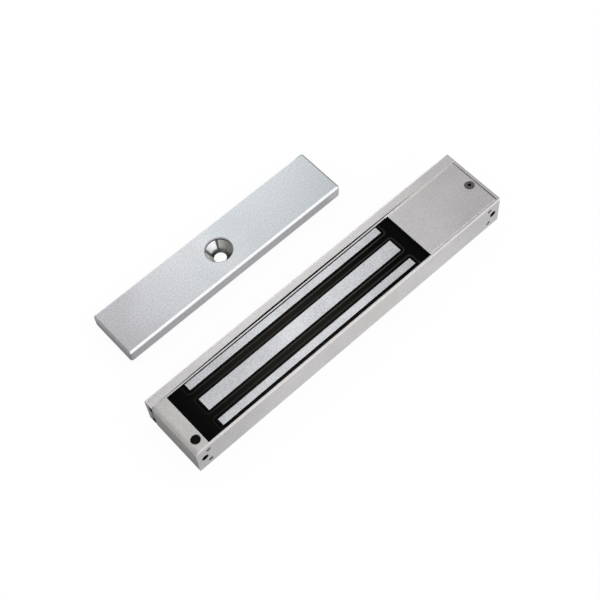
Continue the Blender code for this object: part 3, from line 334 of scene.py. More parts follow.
def turnProfile(profile, centre, axis, steps=48, closed=False):
    shape = bmesh.new()
    place = Matrix.Translation(Vector(centre)) @ turn[axis]
    spots = [shape.verts.new(place @ Vector((radius, 0, along))) for radius, along in profile]
    line = [shape.edges.new(pair) for pair in zip(spots, spots[1:])]
    if closed:
        line.append(shape.edges.new((spots[-1], spots[0])))
    bmesh.ops.spin(shape, geom=spots + line, cent=place.translation, axis=place.to_3x3() @ Vector((0, 0, 1)),
                   angle=2 * math.pi, steps=steps, use_merge=True)
    bmesh.ops.remove_doubles(shape, verts=shape.verts, dist=0.001)
    bmesh.ops.recalc_face_normals(shape, faces=shape.faces)
    return shape


def rod(centre, axis, radius, start, end, steps=48):
    return turnProfile([(0, start), (radius, start), (radius, end), (0, end)], centre, axis, steps)


def arcPoints(centre, radius, start, end, steps):
    angles = [math.radians(start + (end - start) * step / steps) for step in range(steps + 1)]
    return [(centre[0] + radius * math.cos(angle), centre[1] + radius * math.sin(angle)) for angle in angles]


def together(*shapes):
    whole = bmesh.new()
    for shape in shapes:
        mesh = bpy.data.meshes.new("part")
        shape.to_mesh(mesh)
        shape.free()
        whole.from_mesh(mesh)
        bpy.data.meshes.remove(mesh)
    return whole


def addObject(name, shape):
    mesh = bpy.data.meshes.new(name)
    shape.to_mesh(mesh)
    shape.free()
    thing = bpy.data.objects.new(name, mesh)
    bpy.context.scene.collection.objects.link(thing)
    return thing


def combine(shape, other, operation):
    # a Boolean modifier worked out at once, so that the result is a plain mesh
    mostFinishes = 6
    things = []
    for source in (shape, other):
        bmesh.ops.recalc_face_normals(source, faces=source.faces)
        things.append(addObject("combine", source))
        for slot in range(mostFinishes):
            things[-1].data.materials.append(None)
    change = things[0].modifiers.new("combine", "BOOLEAN")
    change.operation, change.solver, change.object = operation, "EXACT", things[1]
    made = bmesh.new()
    made.from_object(things[0], bpy.context.evaluated_depsgraph_get())
    for thing in things:
        mesh = thing.data
        bpy.data.objects.remove(thing)
        bpy.data.meshes.remove(mesh)
    return made


def carve(shape, *cutters):
    return combine(shape, together(*cutters), "DIFFERENCE")


def cutAcross(shape, spot, normal):
    whole = [*shape.verts, *shape.edges, *shape.faces]
    bmesh.ops.bisect_plane(shape, geom=whole, plane_co=spot, plane_no=normal)
    shape.normal_update()


def paint(shape, mark):
    for face in shape.faces:
        face.material_index = mark
    return shape


def isUpright(middle, along):
    return abs(along.z) > abs(along.x) + abs(along.y)


def softenEdges(shape, width, steps=3, pick=None, mark=0):
    outerCorner = 0.6  # in radians, so flat seams and inner corners stay as they are
    edges = [edge for edge in shape.edges if edge.is_manifold
             and edge.calc_face_angle_signed(0) > outerCorner]
    if pick:
        ends = [[vert.co for vert in edge.verts] for edge in edges]
        edges = [edge for edge, (one, two) in zip(edges, ends) if pick((one + two) / 2, one - two)]
    made = bmesh.ops.bevel(shape, geom=edges, offset=width, offset_type="OFFSET", segments=steps,
                           profile=0.5, affect="EDGES", material=-1, clamp_overlap=True)
    for face in made["faces"]:
        face.material_index = mark


def boreCutter(centre, axis, radius, start, end, mouth=0.3, farMouth=0.0, steps=48):
    # a drill with a flared start, and a flared end where farMouth is given
    wide = radius + mouth + drillPast
    profile = [(0, start - drillPast), (wide, start - drillPast), (radius, start + mouth)]
    if farMouth:
        profile += [(radius, end - farMouth), (radius + farMouth + drillPast, end + drillPast)]
    else:
        profile += [(radius, end + drillPast)]
    return turnProfile(profile + [(0, end + drillPast)], centre, axis, steps)


def hexBar(centre, axis, radius, start, length):
    shape = bmesh.new()
    place = Matrix.Translation(Vector(centre)) @ turn[axis] @ Matrix.Translation((0, 0, start + length / 2))
    bmesh.ops.create_cone(shape, cap_ends=True, segments=6, radius1=radius, radius2=radius, depth=length,
                          matrix=place)
    return shape


def slotCutter(spot, bottom, top, half=0.3, reach=3):
    return newBlock((spot.x - half, spot.y - reach, bottom), (spot.x + half, spot.y + reach, top + past))


def makePiece(name, shape, finishes, nodes=(), body="lock_body"):
    bmesh.ops.recalc_face_normals(shape, faces=shape.faces)
    if shape.calc_volume(signed=True) < 0:
        bmesh.ops.reverse_faces(shape, faces=shape.faces)
    bmesh.ops.scale(shape, vec=(mm, mm, mm), verts=shape.verts)
    bmesh.ops.translate(shape, vec=lockCorner, verts=shape.verts)
    piece = addObject(name, shape)
    for finish in finishes:
        piece.data.materials.append(finish)
    piece.data.shade_smooth()
    piece.data.set_sharp_from_angle(angle=math.radians(32))
    even = piece.modifiers.new("evenShading", "WEIGHTED_NORMAL")
    even.keep_sharp = True
    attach(piece, body)
    if nodes:
        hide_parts(*nodes)
    return piece


# Case channel: an extrusion with a painted highlight along its near rim, key holes, pin holes and a shallow
# bed for its label

caseLook = {"wall": 1.0, "floor": 2.0, "rail": (8.5, 15.9), "nearRim": 0.9, "paintedHighlight": 2.3, "farRim": 0.3,
            "edge": 0.2, "endRound": 3.0, "boltHeight": 12.2, "boltInset": 5.5, "boltRoom": 2.8,
            "keyHole": 2.15, "pinHole": 1.5, "pinInset": 8.9, "pinHeights": (5.2, 19.0), "mouth": 0.1,
            "railMouth": 0.2, "wallBack": 0.2, "cableEntry": 217, "entryHole": 6.0, "entryClear": 8.0}
labelLook = {"start": 122.6, "length": 38.4, "low": 5.0, "height": 15.0, "bed": 0.12, "foil": 0.1,
             "corner": 1.2}
caseHigh = nodeBox("case_channel")[1]
blockLow, blockHigh = nodeBox("end_block_left")
farFace = blockHigh.y + fit + caseLook["wall"]
boltPlaces = {"left": caseLook["boltInset"], "right": caseHigh.x - caseLook["boltInset"]}
pinPlaces = [(end, level, along, height)
             for end, along in (("left", caseLook["pinInset"]), ("right", caseHigh.x - caseLook["pinInset"]))
             for level, height in zip(("low", "high"), caseLook["pinHeights"])]


def labelBlock(near, far):
    low = (labelLook["start"], near, labelLook["low"])
    high = (labelLook["start"] + labelLook["length"], far, labelLook["low"] + labelLook["height"])
    shape = newBlock(low, high)
    softenEdges(shape, labelLook["corner"], 6,
                lambda middle, along: abs(along.y) > abs(along.x) + abs(along.z))
    return shape


def buildCase():
    plain, paintedHighlight, stainAndShade, sawn = range(4)
    wall, floor, top = caseLook["wall"], caseLook["floor"], caseHigh.z
    inside = farFace - wall
    railLow, railHigh = caseLook["rail"]
    outline = [(0, 0), (farFace, 0), (farFace, railLow), (caseHigh.y, railLow), (caseHigh.y, railHigh),
               (farFace, railHigh), (farFace, top), (inside, top), (inside, floor), (wall, floor),
               (wall, top), (0, top)]
    shape = extrudeOutline(outline, "X", 0, caseHigh.x)
    fillStart, fillEnd = [corner.x for corner in nodeBox("potting")]
    paintedHighlightLow = top - caseLook["paintedHighlight"]
    cutAcross(shape, (fillStart, 0, 0), (1, 0, 0))
    cutAcross(shape, (fillEnd, 0, 0), (1, 0, 0))
    cutAcross(shape, (0, 0, paintedHighlightLow), (0, 0, 1))
    for face in shape.faces:
        middle = face.calc_center_median()
        if abs(face.normal.x) > 0.9:
            face.material_index = sawn
        elif face.normal.z > 0.9 and middle.z > top - hair and middle.y > wall and middle.x > fillEnd:
            face.material_index = paintedHighlight  # painted highlight on the far wall's top, beside the cover
        elif middle.y < hair and middle.z > paintedHighlightLow:
            face.material_index = paintedHighlight  # painted highlight along the near side's top
        elif wall - hair < middle.y < inside + hair and middle.z > floor and fillStart < middle.x < fillEnd:
            face.material_index = stainAndShade  # along the epoxy's stretch both walls are dark: epoxy stain and painted shade
    endRound = caseLook["endRound"]
    corner = arcPoints((endRound, top - endRound), endRound, 180, 90, 10)
    corner += [(endRound, top + past), (-past, top + past), (-past, top - endRound)]
    shape = carve(shape, extrudeOutline(corner, "Y", -past, farFace + 2 * past))
    softenEdges(shape, caseLook["nearRim"], 5,
                lambda middle, along: middle.y < hair and middle.z > top - endRound - 0.1, paintedHighlight)
    shape.normal_update()
    for face in shape.faces:
        middle = face.calc_center_median()
        isRim = face.material_index == paintedHighlight and middle.y < wall
        if isRim and (face.normal.z > 0.7 or middle.x < endRound - 1):
            face.material_index = plain  # the painted highlight leaves out the rim's top and where it turns down the left end
    # painted highlight on the far wall's inner top edge
    softenEdges(shape, caseLook["farRim"], 3,
                lambda middle, along: abs(middle.y - inside) < hair and middle.z > top - hair, paintedHighlight)
    # the far rim along the epoxy takes the same stain and painted shade
    for face in shape.faces:
        middle = face.calc_center_median()
        if face.material_index == paintedHighlight and wall < middle.y and middle.x < fillEnd:
            face.material_index = stainAndShade
    softenEdges(shape, caseLook["edge"], 2,
                lambda middle, along: middle.y > farFace - hair or middle.z < hair or abs(along.z) > 10)
    back, mouth = inside - caseLook["wallBack"], caseLook["mouth"]
    holes = []
    for along in boltPlaces.values():
        centre = (along, 0, caseLook["boltHeight"])
        holes.append(boreCutter(centre, "Y", caseLook["keyHole"], 0, wall))
        holes.append(boreCutter(centre, "Y", caseLook["boltRoom"], back, caseHigh.y, mouth,
                                caseLook["railMouth"]))
    for end, level, along, height in pinPlaces:
        holes.append(boreCutter((along, 0, height), "Y", caseLook["pinHole"], 0, wall, mouth))
        holes.append(boreCutter((along, 0, height), "Y", caseLook["pinHole"], back, farFace, mouth, mouth))
    entry = (caseLook["cableEntry"], 0, caseLook["boltHeight"])
    holes.append(boreCutter(entry, "Y", caseLook["entryHole"], back, farFace, mouth))
    # painted shade inside all the holes
    shape = carve(shape, *[paint(hole, stainAndShade) for hole in holes])
    # the rail stops at the cable
    shape = carve(shape, rod(entry, "Y", caseLook["entryClear"], farFace, caseHigh.y + past))
    shape = carve(shape, labelBlock(-past, labelLook["bed"]))
    makePiece("caseChannel", shape, [caseFinish, edgeHighlightFinish, stainAndShadeFinish, sawnFinish],
              ["case_channel"])
    label = labelBlock(labelLook["bed"] - labelLook["foil"], labelLook["bed"])
    makePiece("blankLabel", label, [labelFinish])


buildCase()
print("case built")


# End blocks and their pins

blockLook = {"seam": 0.02, "edge": 0.25, "plugPlace": (6.4, 7.8), "plugHole": 3.0, "plugDepth": 6.3,
             "plugMouth": 0.35, "headRoom": 4.55, "headDepth": 5.6, "pinWay": 2.5, "pinMouth": 0.1,
             "lip": 2.0, "seat": 22.2, "screwPlace": (243.4, 20.35), "screwHole": 1.8, "screwBottom": 19.2,
             "screwMouth": 0.2}
pinLook = {"flat": 0.7, "ends": (0.05, 0.1, 0.25, 0.45), "round": 0.05}


def blockWays(end):
    # the captive bolt's pocket and hole, and the pin holes in both sides
    near, far = blockLow.y, blockHigh.y
    headRoom, headEnd = blockLook["headRoom"], near + blockLook["headDepth"]
    pocket = [(0, near - past), (headRoom, near - past), (headRoom, headEnd),
              (caseLook["boltRoom"], headEnd), (caseLook["boltRoom"], far + past), (0, far + past)]
    ways = [turnProfile(pocket, (boltPlaces[end], 0, caseLook["boltHeight"]), "Y")]
    deep, mouth, radius = blockLook["pinWay"], blockLook["pinMouth"], caseLook["pinHole"]
    for side, level, along, height in pinPlaces:
        if side == end:
            ways.append(boreCutter((along, 0, height), "Y", radius, near, near + deep, mouth, steps=24))
            ways.append(boreCutter((along, 0, height), "Y", radius, far - deep, far, squareStart, mouth, 24))
    return ways


def buildBlock(end, outline, bore):
    near = caseLook["wall"] + blockLook["seam"]
    shape = extrudeOutline(outline, "Y", near, farFace - 2 * near)
    softenEdges(shape, blockLook["edge"], 3, lambda middle, along: abs(along.y) > 1)
    shape = carve(shape, *blockWays(end))
    makePiece(f"endBlock{end.title()}", carve(shape, bore), [castFinish, edgeHighlightFinish],
              [f"end_block_{end}"])


def buildBlocks():
    top, floor, seat, endRound = caseHigh.z, blockLow.z, blockLook["seat"], caseLook["endRound"]
    outline = [(blockHigh.x, floor), (blockHigh.x, top)]
    outline += arcPoints((endRound, top - endRound), endRound, 90, 180, 10) + [(0, floor)]
    plugHole = boreCutter((*blockLook["plugPlace"], 0), "Z", blockLook["plugHole"],
                          top - blockLook["plugDepth"], top, squareStart, blockLook["plugMouth"])
    buildBlock("left", outline, plugHole)
    low, high = nodeBox("end_block_right")
    lipStart = high.x - blockLook["lip"]
    outline = [(low.x, floor), (high.x, floor), (high.x, top), (lipStart, top), (lipStart, seat),
               (low.x, seat)]
    screwHole = boreCutter((*blockLook["screwPlace"], 0), "Z", blockLook["screwHole"],
                           blockLook["screwBottom"], seat, squareStart, blockLook["screwMouth"])
    buildBlock("right", outline, screwHole)


def buildPins():
    for end, level, along, height in pinPlaces:
        for side in ("near", "far"):
            node = f"end_pin_{side}_{end}_{level}"
            low, high = nodeBox(node)
            radius = (high.x - low.x) / 2
            dome = list(zip((0, radius * pinLook["flat"], radius - pinLook["round"], radius),
                            pinLook["ends"]))
            profile = [(out, low.y + inset) for out, inset in dome]
            profile += [(out, high.y - inset) for out, inset in reversed(dome)]
            shape = turnProfile(profile, (along, 0, height), "Y", 32)
            finish = stainedPinFinish if (end, level) == ("left", "low") else pinFinish
            name = f"endPin{side.title()}{end.title()}{level.title()}"
            makePiece(name, shape, [finish], [node])


buildBlocks()
buildPins()
print("end blocks and pins built")


# Captive mounting bolts: socket heads behind the key holes, threaded tips in the plate

boltLook = {"head": 4.25, "headLength": 5.0, "shank": 2.5, "socket": 2.3, "socketDepth": 2.6, "thread": 0.8,
            "threadLength": 14.0, "threadDepth": 0.4, "crest": (0.12, 0.4, 0.7), "chamfer": 0.4,
            "under": 0.15, "tip": 0.6}


def buildBolts():
    head, shank, edge, under = boltLook["head"], boltLook["shank"], boltLook["chamfer"], boltLook["under"]
    flatEnd, rootAt, nextCrest = boltLook["crest"]
    for end, along in boltPlaces.items():
        low, high = nodeBox(f"mount_bolt_{end}")
        headEnd = low.y + boltLook["headLength"]
        profile = [(0, low.y), (head - edge, low.y), (head, low.y + edge), (head, headEnd - under),
                   (head - under, headEnd), (shank, headEnd)]
        start = high.y - boltLook["threadLength"]
        for ring in range(int(boltLook["threadLength"] / boltLook["thread"])):
            crest = start + ring * boltLook["thread"]
            profile += [(shank, crest), (shank, crest + flatEnd),
                        (shank - boltLook["threadDepth"], crest + rootAt), (shank, crest + nextCrest)]
        profile += [(shank - boltLook["tip"], high.y), (0, high.y)]
        centre = (along, 0, caseLook["boltHeight"])
        socket = hexBar(centre, "Y", boltLook["socket"], low.y - past, boltLook["socketDepth"] + past)
        shape = carve(turnProfile(profile, centre, "Y", 40), socket)
        # the bolts are black oxide, darkened further as painted shade behind the key holes
        makePiece(f"mountBolt{end.title()}", shape, [oxideAndShadeFinish], [f"mount_bolt_{end}"],
                  f"bolt_{end}")


buildBolts()


# Mounting plate: grooved for the case's rail, with a bowed lip, two hollow ribs, fixing holes and slots

plateLook = {"edge": 0.25, "farRim": 1.0, "groove": 43.2, "grooveLow": 8.2, "grooveHigh": 16.2, "seam": 0.04,
             "lip": 1.6, "drop": 0.03, "bow": (2, 220), "bowDepth": 1.2, "endRound": 1.2,
             "ribs": (41.2, 43.5), "ribDepth": 4.0, "ribHeights": ((2.6, 7.9), (16.7, 22.9)),
             "holes": (18, 84, 166, 232), "hole": 2.6, "slots": (44, 192), "slotLength": 20,
             "slotWidth": 6.5, "nearMouth": 0.2, "cableMouth": 0.1, "mouth": 0.35}


def buildPlate():
    plain, paintedHighlight, dark = range(3)
    low, high = nodeBox("mounting_plate")
    groove, grooveLow, grooveHigh = plateLook["groove"], plateLook["grooveLow"], plateLook["grooveHigh"]
    top, lipNear = caseHigh.z - plateLook["drop"], farFace + plateLook["seam"]
    lipLow = top - plateLook["lip"]
    outline = [(high.y, low.z), (high.y, top), (lipNear, top), (lipNear, lipLow), (low.y, lipLow),
               (low.y, grooveHigh), (groove, grooveHigh), (groove, grooveLow), (low.y, grooveLow),
               (low.y, low.z)]
    shape = extrudeOutline(outline, "X", low.x, high.x - low.x)
    # the far rim's round carries painted highlight
    softenEdges(shape, plateLook["farRim"], 5, lambda middle, along: abs(along.x) > 9
                and middle.z > top - hair and middle.y > groove, paintedHighlight)
    softenEdges(shape, plateLook["endRound"], 4, lambda middle, along: middle.x < hair
                and middle.z > top - hair)
    softenEdges(shape, plateLook["edge"], 3,
                lambda middle, along: middle.x < hair or middle.x > high.x - hair or middle.z < low.z + hair)
    # the lip bows away from the case, so the parting line is widest near its middle
    bowStart, bowEnd = plateLook["bow"]
    half, depth = (bowEnd - bowStart) / 2, plateLook["bowDepth"]
    radius = (half * half + depth * depth) / (2 * depth)
    spread = math.degrees(math.asin(half / radius))
    centre = ((bowStart + bowEnd) / 2, lipNear + depth - radius)
    arc = arcPoints(centre, radius, 90 - spread, 90 + spread, 24)
    # painted shade in the parting line
    shape = carve(shape, paint(extrudeOutline(arc, "Z", lipLow - past, plateLook["lip"] + 2 * past), dark))
    height, mouth = caseLook["boltHeight"], plateLook["mouth"]
    drills = [(along, plateLook["hole"]) for along in plateLook["holes"]]
    drills += [(along, caseLook["boltRoom"]) for along in boltPlaces.values()]
    shape = carve(shape,
                  *[boreCutter((along, 0, height), "Y", radius, groove, high.y, plateLook["nearMouth"],
                               mouth) for along, radius in drills])
    shape = carve(shape, boreCutter((caseLook["cableEntry"], 0, height), "Y", caseLook["entryClear"],
                                    low.y - past, high.y, plateLook["cableMouth"], mouth))
    half, radius = (plateLook["slotLength"] - plateLook["slotWidth"]) / 2, plateLook["slotWidth"] / 2
    slots = []
    for middle in plateLook["slots"]:
        outline = arcPoints((middle + half, height), radius, -90, 90, 16)
        outline += arcPoints((middle - half, height), radius, 90, 270, 16)
        slots.append(extrudeOutline(outline, "Y", low.y - past, high.y - low.y + 2 * past))
    # the open ends of the extrusion's two hollow ribs
    near, far = plateLook["ribs"]
    deep = plateLook["ribDepth"]
    for bottom, ceiling in plateLook["ribHeights"]:
        slots.append(newBlock((low.x - past, near, bottom), (low.x + deep, far, ceiling)))
        slots.append(newBlock((high.x - deep, near, bottom), (high.x + past, far, ceiling)))
    # painted shade in the slots and the ribs' open ends
    shape = carve(shape, *[paint(slot, dark) for slot in slots])
    makePiece("mountingPlate", shape, [plateFinish, edgeHighlightFinish, oxideAndShadeFinish], ["mounting_plate"],
              "mounting_plate")


buildPlate()
print("bolts and mounting plate built")


# Core, epoxy and dam

coreLook = {"edge": 0.2, "outerPole": 5.1, "middlePole": 9.6, "slot": 7.8, "yoke": 10.3, "rivet": 1.8,
            "mouth": 0.1}
epoxyLook = {"bed": 1.0, "farGaps": (1.9, 1.5), "nearGaps": (1.0, 1.3), "endGap": 1.9, "wallReach": 3,
             "moatCorner": 1.6, "moatEdge": 0.9, "poleFit": 0.12, "yokeEnds": 2.2, "coilRoom": 6.6,
             "coilCorner": 6.4}
damLook = {"lip": 1.5, "edge": 0.15, "tongueRoom": (188.8, 190.5), "tongueHalf": 6.3, "tongueTop": 23.7,
           "leadHole": 1.1, "leads": (10, 31), "leadHeight": 14}
coreLow, coreHigh = nodeBox("core_stack")
coreMiddle = (coreLow + coreHigh) / 2
poleEdges = [coreLow.y]
for part in ("outerPole", "slot", "middlePole", "slot", "outerPole"):
    poleEdges.append(poleEdges[-1] + coreLook[part])


def buildCore():
    yoke, top, mouth = coreLook["yoke"], coreHigh.z, coreLook["mouth"]
    heights = [coreLow.z, top] + 2 * [top, yoke, yoke, top] + [top, coreLow.z]
    outline = zip([edge for edge in poleEdges for time in range(2)], heights)
    shape = extrudeOutline(outline, "X", coreLow.x, coreHigh.x - coreLow.x)
    softenEdges(shape, coreLook["edge"], 2)
    rivets = [middleOf(f"core_rivet_{number}") for number in (1, 2, 3)]
    shape = carve(shape, *[boreCutter((0, spot.y, spot.z), "X", coreLook["rivet"], coreLow.x, coreHigh.x,
                                      mouth, mouth, 24) for spot in rivets])
    makePiece("coreStack", shape, [poleFinish], ["core_stack"])


def buildEpoxy():
    plain, nearDustAndHighlight, farDustAndHighlight = range(3)
    low, high = nodeBox("potting")
    yoke, bed, gap = coreLook["yoke"], high.z - epoxyLook["bed"], epoxyLook["endGap"]
    poleFit, coilRoom, ends = epoxyLook["poleFit"], epoxyLook["coilRoom"], epoxyLook["yokeEnds"]
    shape = newBlock(low, high)
    # the fill has sunk a little round each pole, out to the wall beside the outer ones
    starts = [edge - side for edge, side in zip(poleEdges[2::2], epoxyLook["nearGaps"])]
    stops = [edge + side for edge, side in zip(poleEdges[1::2], epoxyLook["farGaps"])]
    moats = []
    for start, stop in zip([low.y - epoxyLook["wallReach"]] + starts,
                           stops + [high.y + epoxyLook["wallReach"]]):
        moats.append(newBlock((coreLow.x - gap, start, bed), (coreHigh.x + gap, stop, high.z + 2 * past)))
        softenEdges(moats[-1], epoxyLook["moatCorner"], 6, isUpright)
    shape = carve(shape, *moats)
    # the moats' rounded edges take painted highlight over dust
    softenEdges(shape, epoxyLook["moatEdge"], 3,
                lambda middle, along: middle.z > high.z - hair and low.x + 0.1 < middle.x < high.x - 0.1
                and low.y + 0.1 < middle.y < high.y - 0.1, nearDustAndHighlight)
    # edges that face the far side take the lighter painted highlight
    for face in shape.faces:
        if face.material_index == nearDustAndHighlight and face.normal.y > 0.1:
            face.material_index = farDustAndHighlight
    shape = carve(shape, *[newBlock((coreLow.x - poleFit, start - poleFit, yoke),
                                    (coreHigh.x + poleFit, stop + poleFit, high.z + 2 * past))
                           for start, stop in zip(poleEdges[0::2], poleEdges[1::2])])
    shape = carve(shape, newBlock((coreLow.x - ends, coreLow.y - poleFit, low.z - past),
                                  (coreHigh.x + ends, coreHigh.y + poleFit, yoke + fit)))
    half = (coreHigh.x - coreLow.x) / 2 + coilRoom
    wide = coreLook["middlePole"] / 2 + coilRoom
    coilTop = nodeBox("coil_former")[1].z + fit
    room = newBlock((coreMiddle.x - half, coreMiddle.y - wide, low.z - past),
                    (coreMiddle.x + half, coreMiddle.y + wide, coilTop))
    softenEdges(room, epoxyLook["coilCorner"], 8, isUpright)
    makePiece("epoxyFill", carve(shape, room), [epoxyFinish, nearDustAndHighlightFinish, farDustAndHighlightFinish], ["potting"])


def buildDam():
    low, high = nodeBox("potting_dam")
    lip, seat, half = low.x + damLook["lip"], blockLook["seat"], damLook["tongueHalf"]
    outline = [(low.x, low.z), (high.x, low.z), (high.x, seat), (lip, seat), (lip, high.z), (low.x, high.z)]
    shape = extrudeOutline(outline, "Y", low.y, high.y - low.y)
    softenEdges(shape, damLook["edge"], 2, lambda middle, along: middle.z < high.z - hair)
    roomStart, roomEnd = damLook["tongueRoom"]
    tongue = newBlock((roomStart, coreMiddle.y - half, seat),
                      (roomEnd, coreMiddle.y + half, damLook["tongueTop"]))
    ways = [rod((0, across, damLook["leadHeight"]), "X", damLook["leadHole"], low.x - past, high.x + past,
                24) for across in damLook["leads"]]
    makePiece("pottingDam", carve(shape, tongue, *ways), [epoxyFinish], ["potting_dam"])


buildCore()
buildEpoxy()
buildDam()
print("core, epoxy and dam built")


# Terminal cover with its tongue and screw, and the plug in the left block

coverLook = {"seam": 0.12, "endSeam": 0.38, "endSkew": 0.26, "edge": 0.2, "nearEdge": 0.45, "paintedHighlight": 0.9,
             "farSeam": 0.04, "farFall": (0.6, 0.2), "tongue": 12.0, "tongueThick": 0.7, "tongueLength": 1,
             "tongueEdge": 0.12, "hole": 1.8, "sink": 3.3, "mouth": 0.2}
screwLook = {"head": 3.0, "shank": 1.5, "sinkDepth": 1.5, "socket": 1.25, "socketDepth": 1.2, "rim": 0.15,
             "neck": 0.05, "thread": 0.5, "rings": 6, "start": 0.15, "crest": 0.08, "threadDepth": 0.25,
             "tip": 0.3}
plugLook = {"foot": ((0.5, 0.0), (0.1, 0.4), (0.0, 0.9)), "rim": ((0.0, 0.4), (0.12, 0.12), (0.4, 0.0)),
            "dish": ((1.8, 0.0), (1.6, 0.12), (1.45, 0.5), (0.0, 0.5))}


def buildCover():
    plain, paintedHighlight = range(2)
    low, high = nodeBox("terminal_cover")
    plateStart = low.x + coverLook["tongueLength"]
    near = caseLook["wall"] + coverLook["seam"]
    far = farFace - caseLook["wall"] - coverLook["farSeam"]
    fallWidth, fallDepth = coverLook["farFall"]
    outline = [(near, low.z), (far, low.z), (far, high.z - fallDepth), (far - fallWidth, high.z),
               (near, high.z)]
    end = high.x - coverLook["endSeam"]
    shape = extrudeOutline(outline, "X", plateStart, end - plateStart)
    for vert in shape.verts:
        if vert.co.x > end - hair:
            # the seam closes at the far wall
            vert.co.x += coverLook["endSkew"] * (vert.co.y - near) / (far - near)
    paintedHighlightEnd = near + coverLook["paintedHighlight"]
    cutAcross(shape, (0, paintedHighlightEnd, 0), (0, 1, 0))
    # painted highlight on a strip along the near edge, on the far fall and on the end edge
    for face in shape.faces:
        isFall = face.normal.y > 0.1 and face.normal.z > 0.1
        isPaintedHighlight = face.normal.z > 0.9 and face.calc_center_median().y < paintedHighlightEnd
        face.material_index = paintedHighlight if isFall or isPaintedHighlight else plain
    softenEdges(shape, coverLook["nearEdge"], 4,
                lambda middle, along: middle.y < near + hair and middle.z > high.z - hair, paintedHighlight)
    softenEdges(shape, coverLook["edge"], 2, lambda middle, along: middle.x > end - hair, paintedHighlight)
    half = coverLook["tongue"] / 2
    tongue = newBlock((low.x, coreMiddle.y - half, low.z),
                      (plateStart + past, coreMiddle.y + half, low.z + coverLook["tongueThick"]))
    softenEdges(tongue, coverLook["tongueEdge"], 2)
    shape = combine(shape, tongue, "UNION")
    top = nodeBox("cover_screw")[1].z
    hole, sink, mouth = coverLook["hole"], coverLook["sink"], coverLook["mouth"]
    profile = [(0, low.z - past), (hole, low.z - past), (hole, top - screwLook["sinkDepth"]), (sink, top),
               (sink, high.z - mouth), (sink + mouth + past, high.z + past), (0, high.z + past)]
    shape = carve(shape, turnProfile(profile, footOf("cover_screw"), "Z"))
    makePiece("terminalCover", shape, [caseFinish, edgeHighlightFinish], ["terminal_cover"],
              "cover")


def buildCoverScrew():
    low, high = nodeBox("cover_screw")
    place, head, shank, rim = footOf("cover_screw"), screwLook["head"], screwLook["shank"], screwLook["rim"]
    deep, neck = screwLook["socketDepth"], screwLook["neck"]
    profile = [(0, low.z), (shank - screwLook["tip"], low.z)]
    for ring in range(screwLook["rings"]):
        crest = low.z + screwLook["start"] + ring * screwLook["thread"]
        root = (shank - screwLook["threadDepth"], crest + screwLook["threadDepth"])
        profile += [(shank, crest), (shank, crest + screwLook["crest"]), root]
    profile += [(shank, high.z - screwLook["sinkDepth"] - neck), (head, high.z - rim - neck),
                (head, high.z - rim), (head - rim, high.z), (0, high.z)]
    socket = hexBar(place, "Z", screwLook["socket"], high.z - deep, deep + past)
    # painted shade in the socket
    shape = carve(turnProfile(profile, place, "Z"), paint(socket, 1))
    makePiece("coverScrew", shape, [shadedScrewFinish, oxideAndShadeFinish], ["cover_screw"],
              "cover_screw")


def buildPlug():
    low, high = nodeBox("access_plug")
    radius = (high.x - low.x) / 2
    profile = [(0, low.z)] + [(radius - inset, low.z + up) for inset, up in plugLook["foot"]]
    profile += [(radius - inset, high.z - down) for inset, down in plugLook["rim"]]
    profile += [(out, high.z - down) for out, down in plugLook["dish"]]
    shape = turnProfile(profile, footOf("access_plug"), "Z")
    makePiece("accessPlug", shape, [rubberFinish], ["access_plug"], "plug")


buildCover()
buildCoverScrew()
buildPlug()
print("cover, screw and plug built")


# Wiring space: board, standoffs, screws, terminals, voltage pins with caps, surge suppressor and grommet

# the pads lie under the ends of the leads, the terminals, the suppressor and the pins
boardLook = {"edge": 0.08, "screwHole": 1.4, "sunk": 0.02, "solder": 0.85, "solderHeight": 0.3,
             "solderFoot": 0.04, "runHeight": 0.06, "runEdge": 0.04,
             "pads": ((201.8, 10), (201.8, 31), (207.46, 33), (212.54, 33), (221.5, 15.5), (226.5, 15.5),
                      (230, 22), (230, 25), (230, 28), (233, 22), (233, 25), (233, 28)),
             "runs": (((196.5, 15), (226, 15.6)), ((200, 20), (232, 20.6)), ((218, 24.6), (229, 25.2)),
                      ((218, 27.6), (229, 28.2)), ((201.4, 12), (202.2, 29)), ((216.6, 8), (217.4, 20.4)))}
standoffLook = {"radius": 2.8, "edge": 0.2, "bore": 1.4, "mouth": 0.2}
boardScrewLook = {"tip": (0.9, 0.3), "shank": 1.1, "head": ((2.2, 0.0), (2.2, 0.7), (2.0, 1.1), (1.5, 1.4)),
                  "crown": (0.8, 0.03), "slotBottom": 0.75}
terminalLook = {"step": 2.6, "well": 1.9, "wellDepth": 3.0, "wellMouth": 0.2, "mouth": (3.2, 3.0, 4.0),
                "mouthCorner": 0.3, "clampFit": 0.2, "clampSet": 0.8, "clampWall": (0.9, 0.8, 0.6),
                "edge": 0.25, "parting": 0.15, "partingDepth": 1.2, "screw": 1.6,
                "screwRim": ((1.6, 0.3), (1.45, 0.1), (1.1, 0.0), (0.0, 0.0)), "slot": 0.6}
headerLook = {"base": 2.5, "corner": 0.35, "edge": 0.1, "pitch": 2.54, "pin": 0.32, "pinFoot": 2,
              "pinTip": 0.15, "capEdge": 0.3, "capBore": 0.65, "capTop": 1.2, "grip": 0.5, "gripDepth": 0.7}
suppressorLook = {"flat": 0.45, "dish": 0.92, "legs": 2.5, "leg": 0.35, "legReach": 1.6}
grommetLook = {"bore": 3.6, "rim": 7.5, "neck": 5.7, "round": 0.4, "back": 0.3}
boardLow, boardHigh = nodeBox("control_board")
boardFit = boardHigh.z + fit


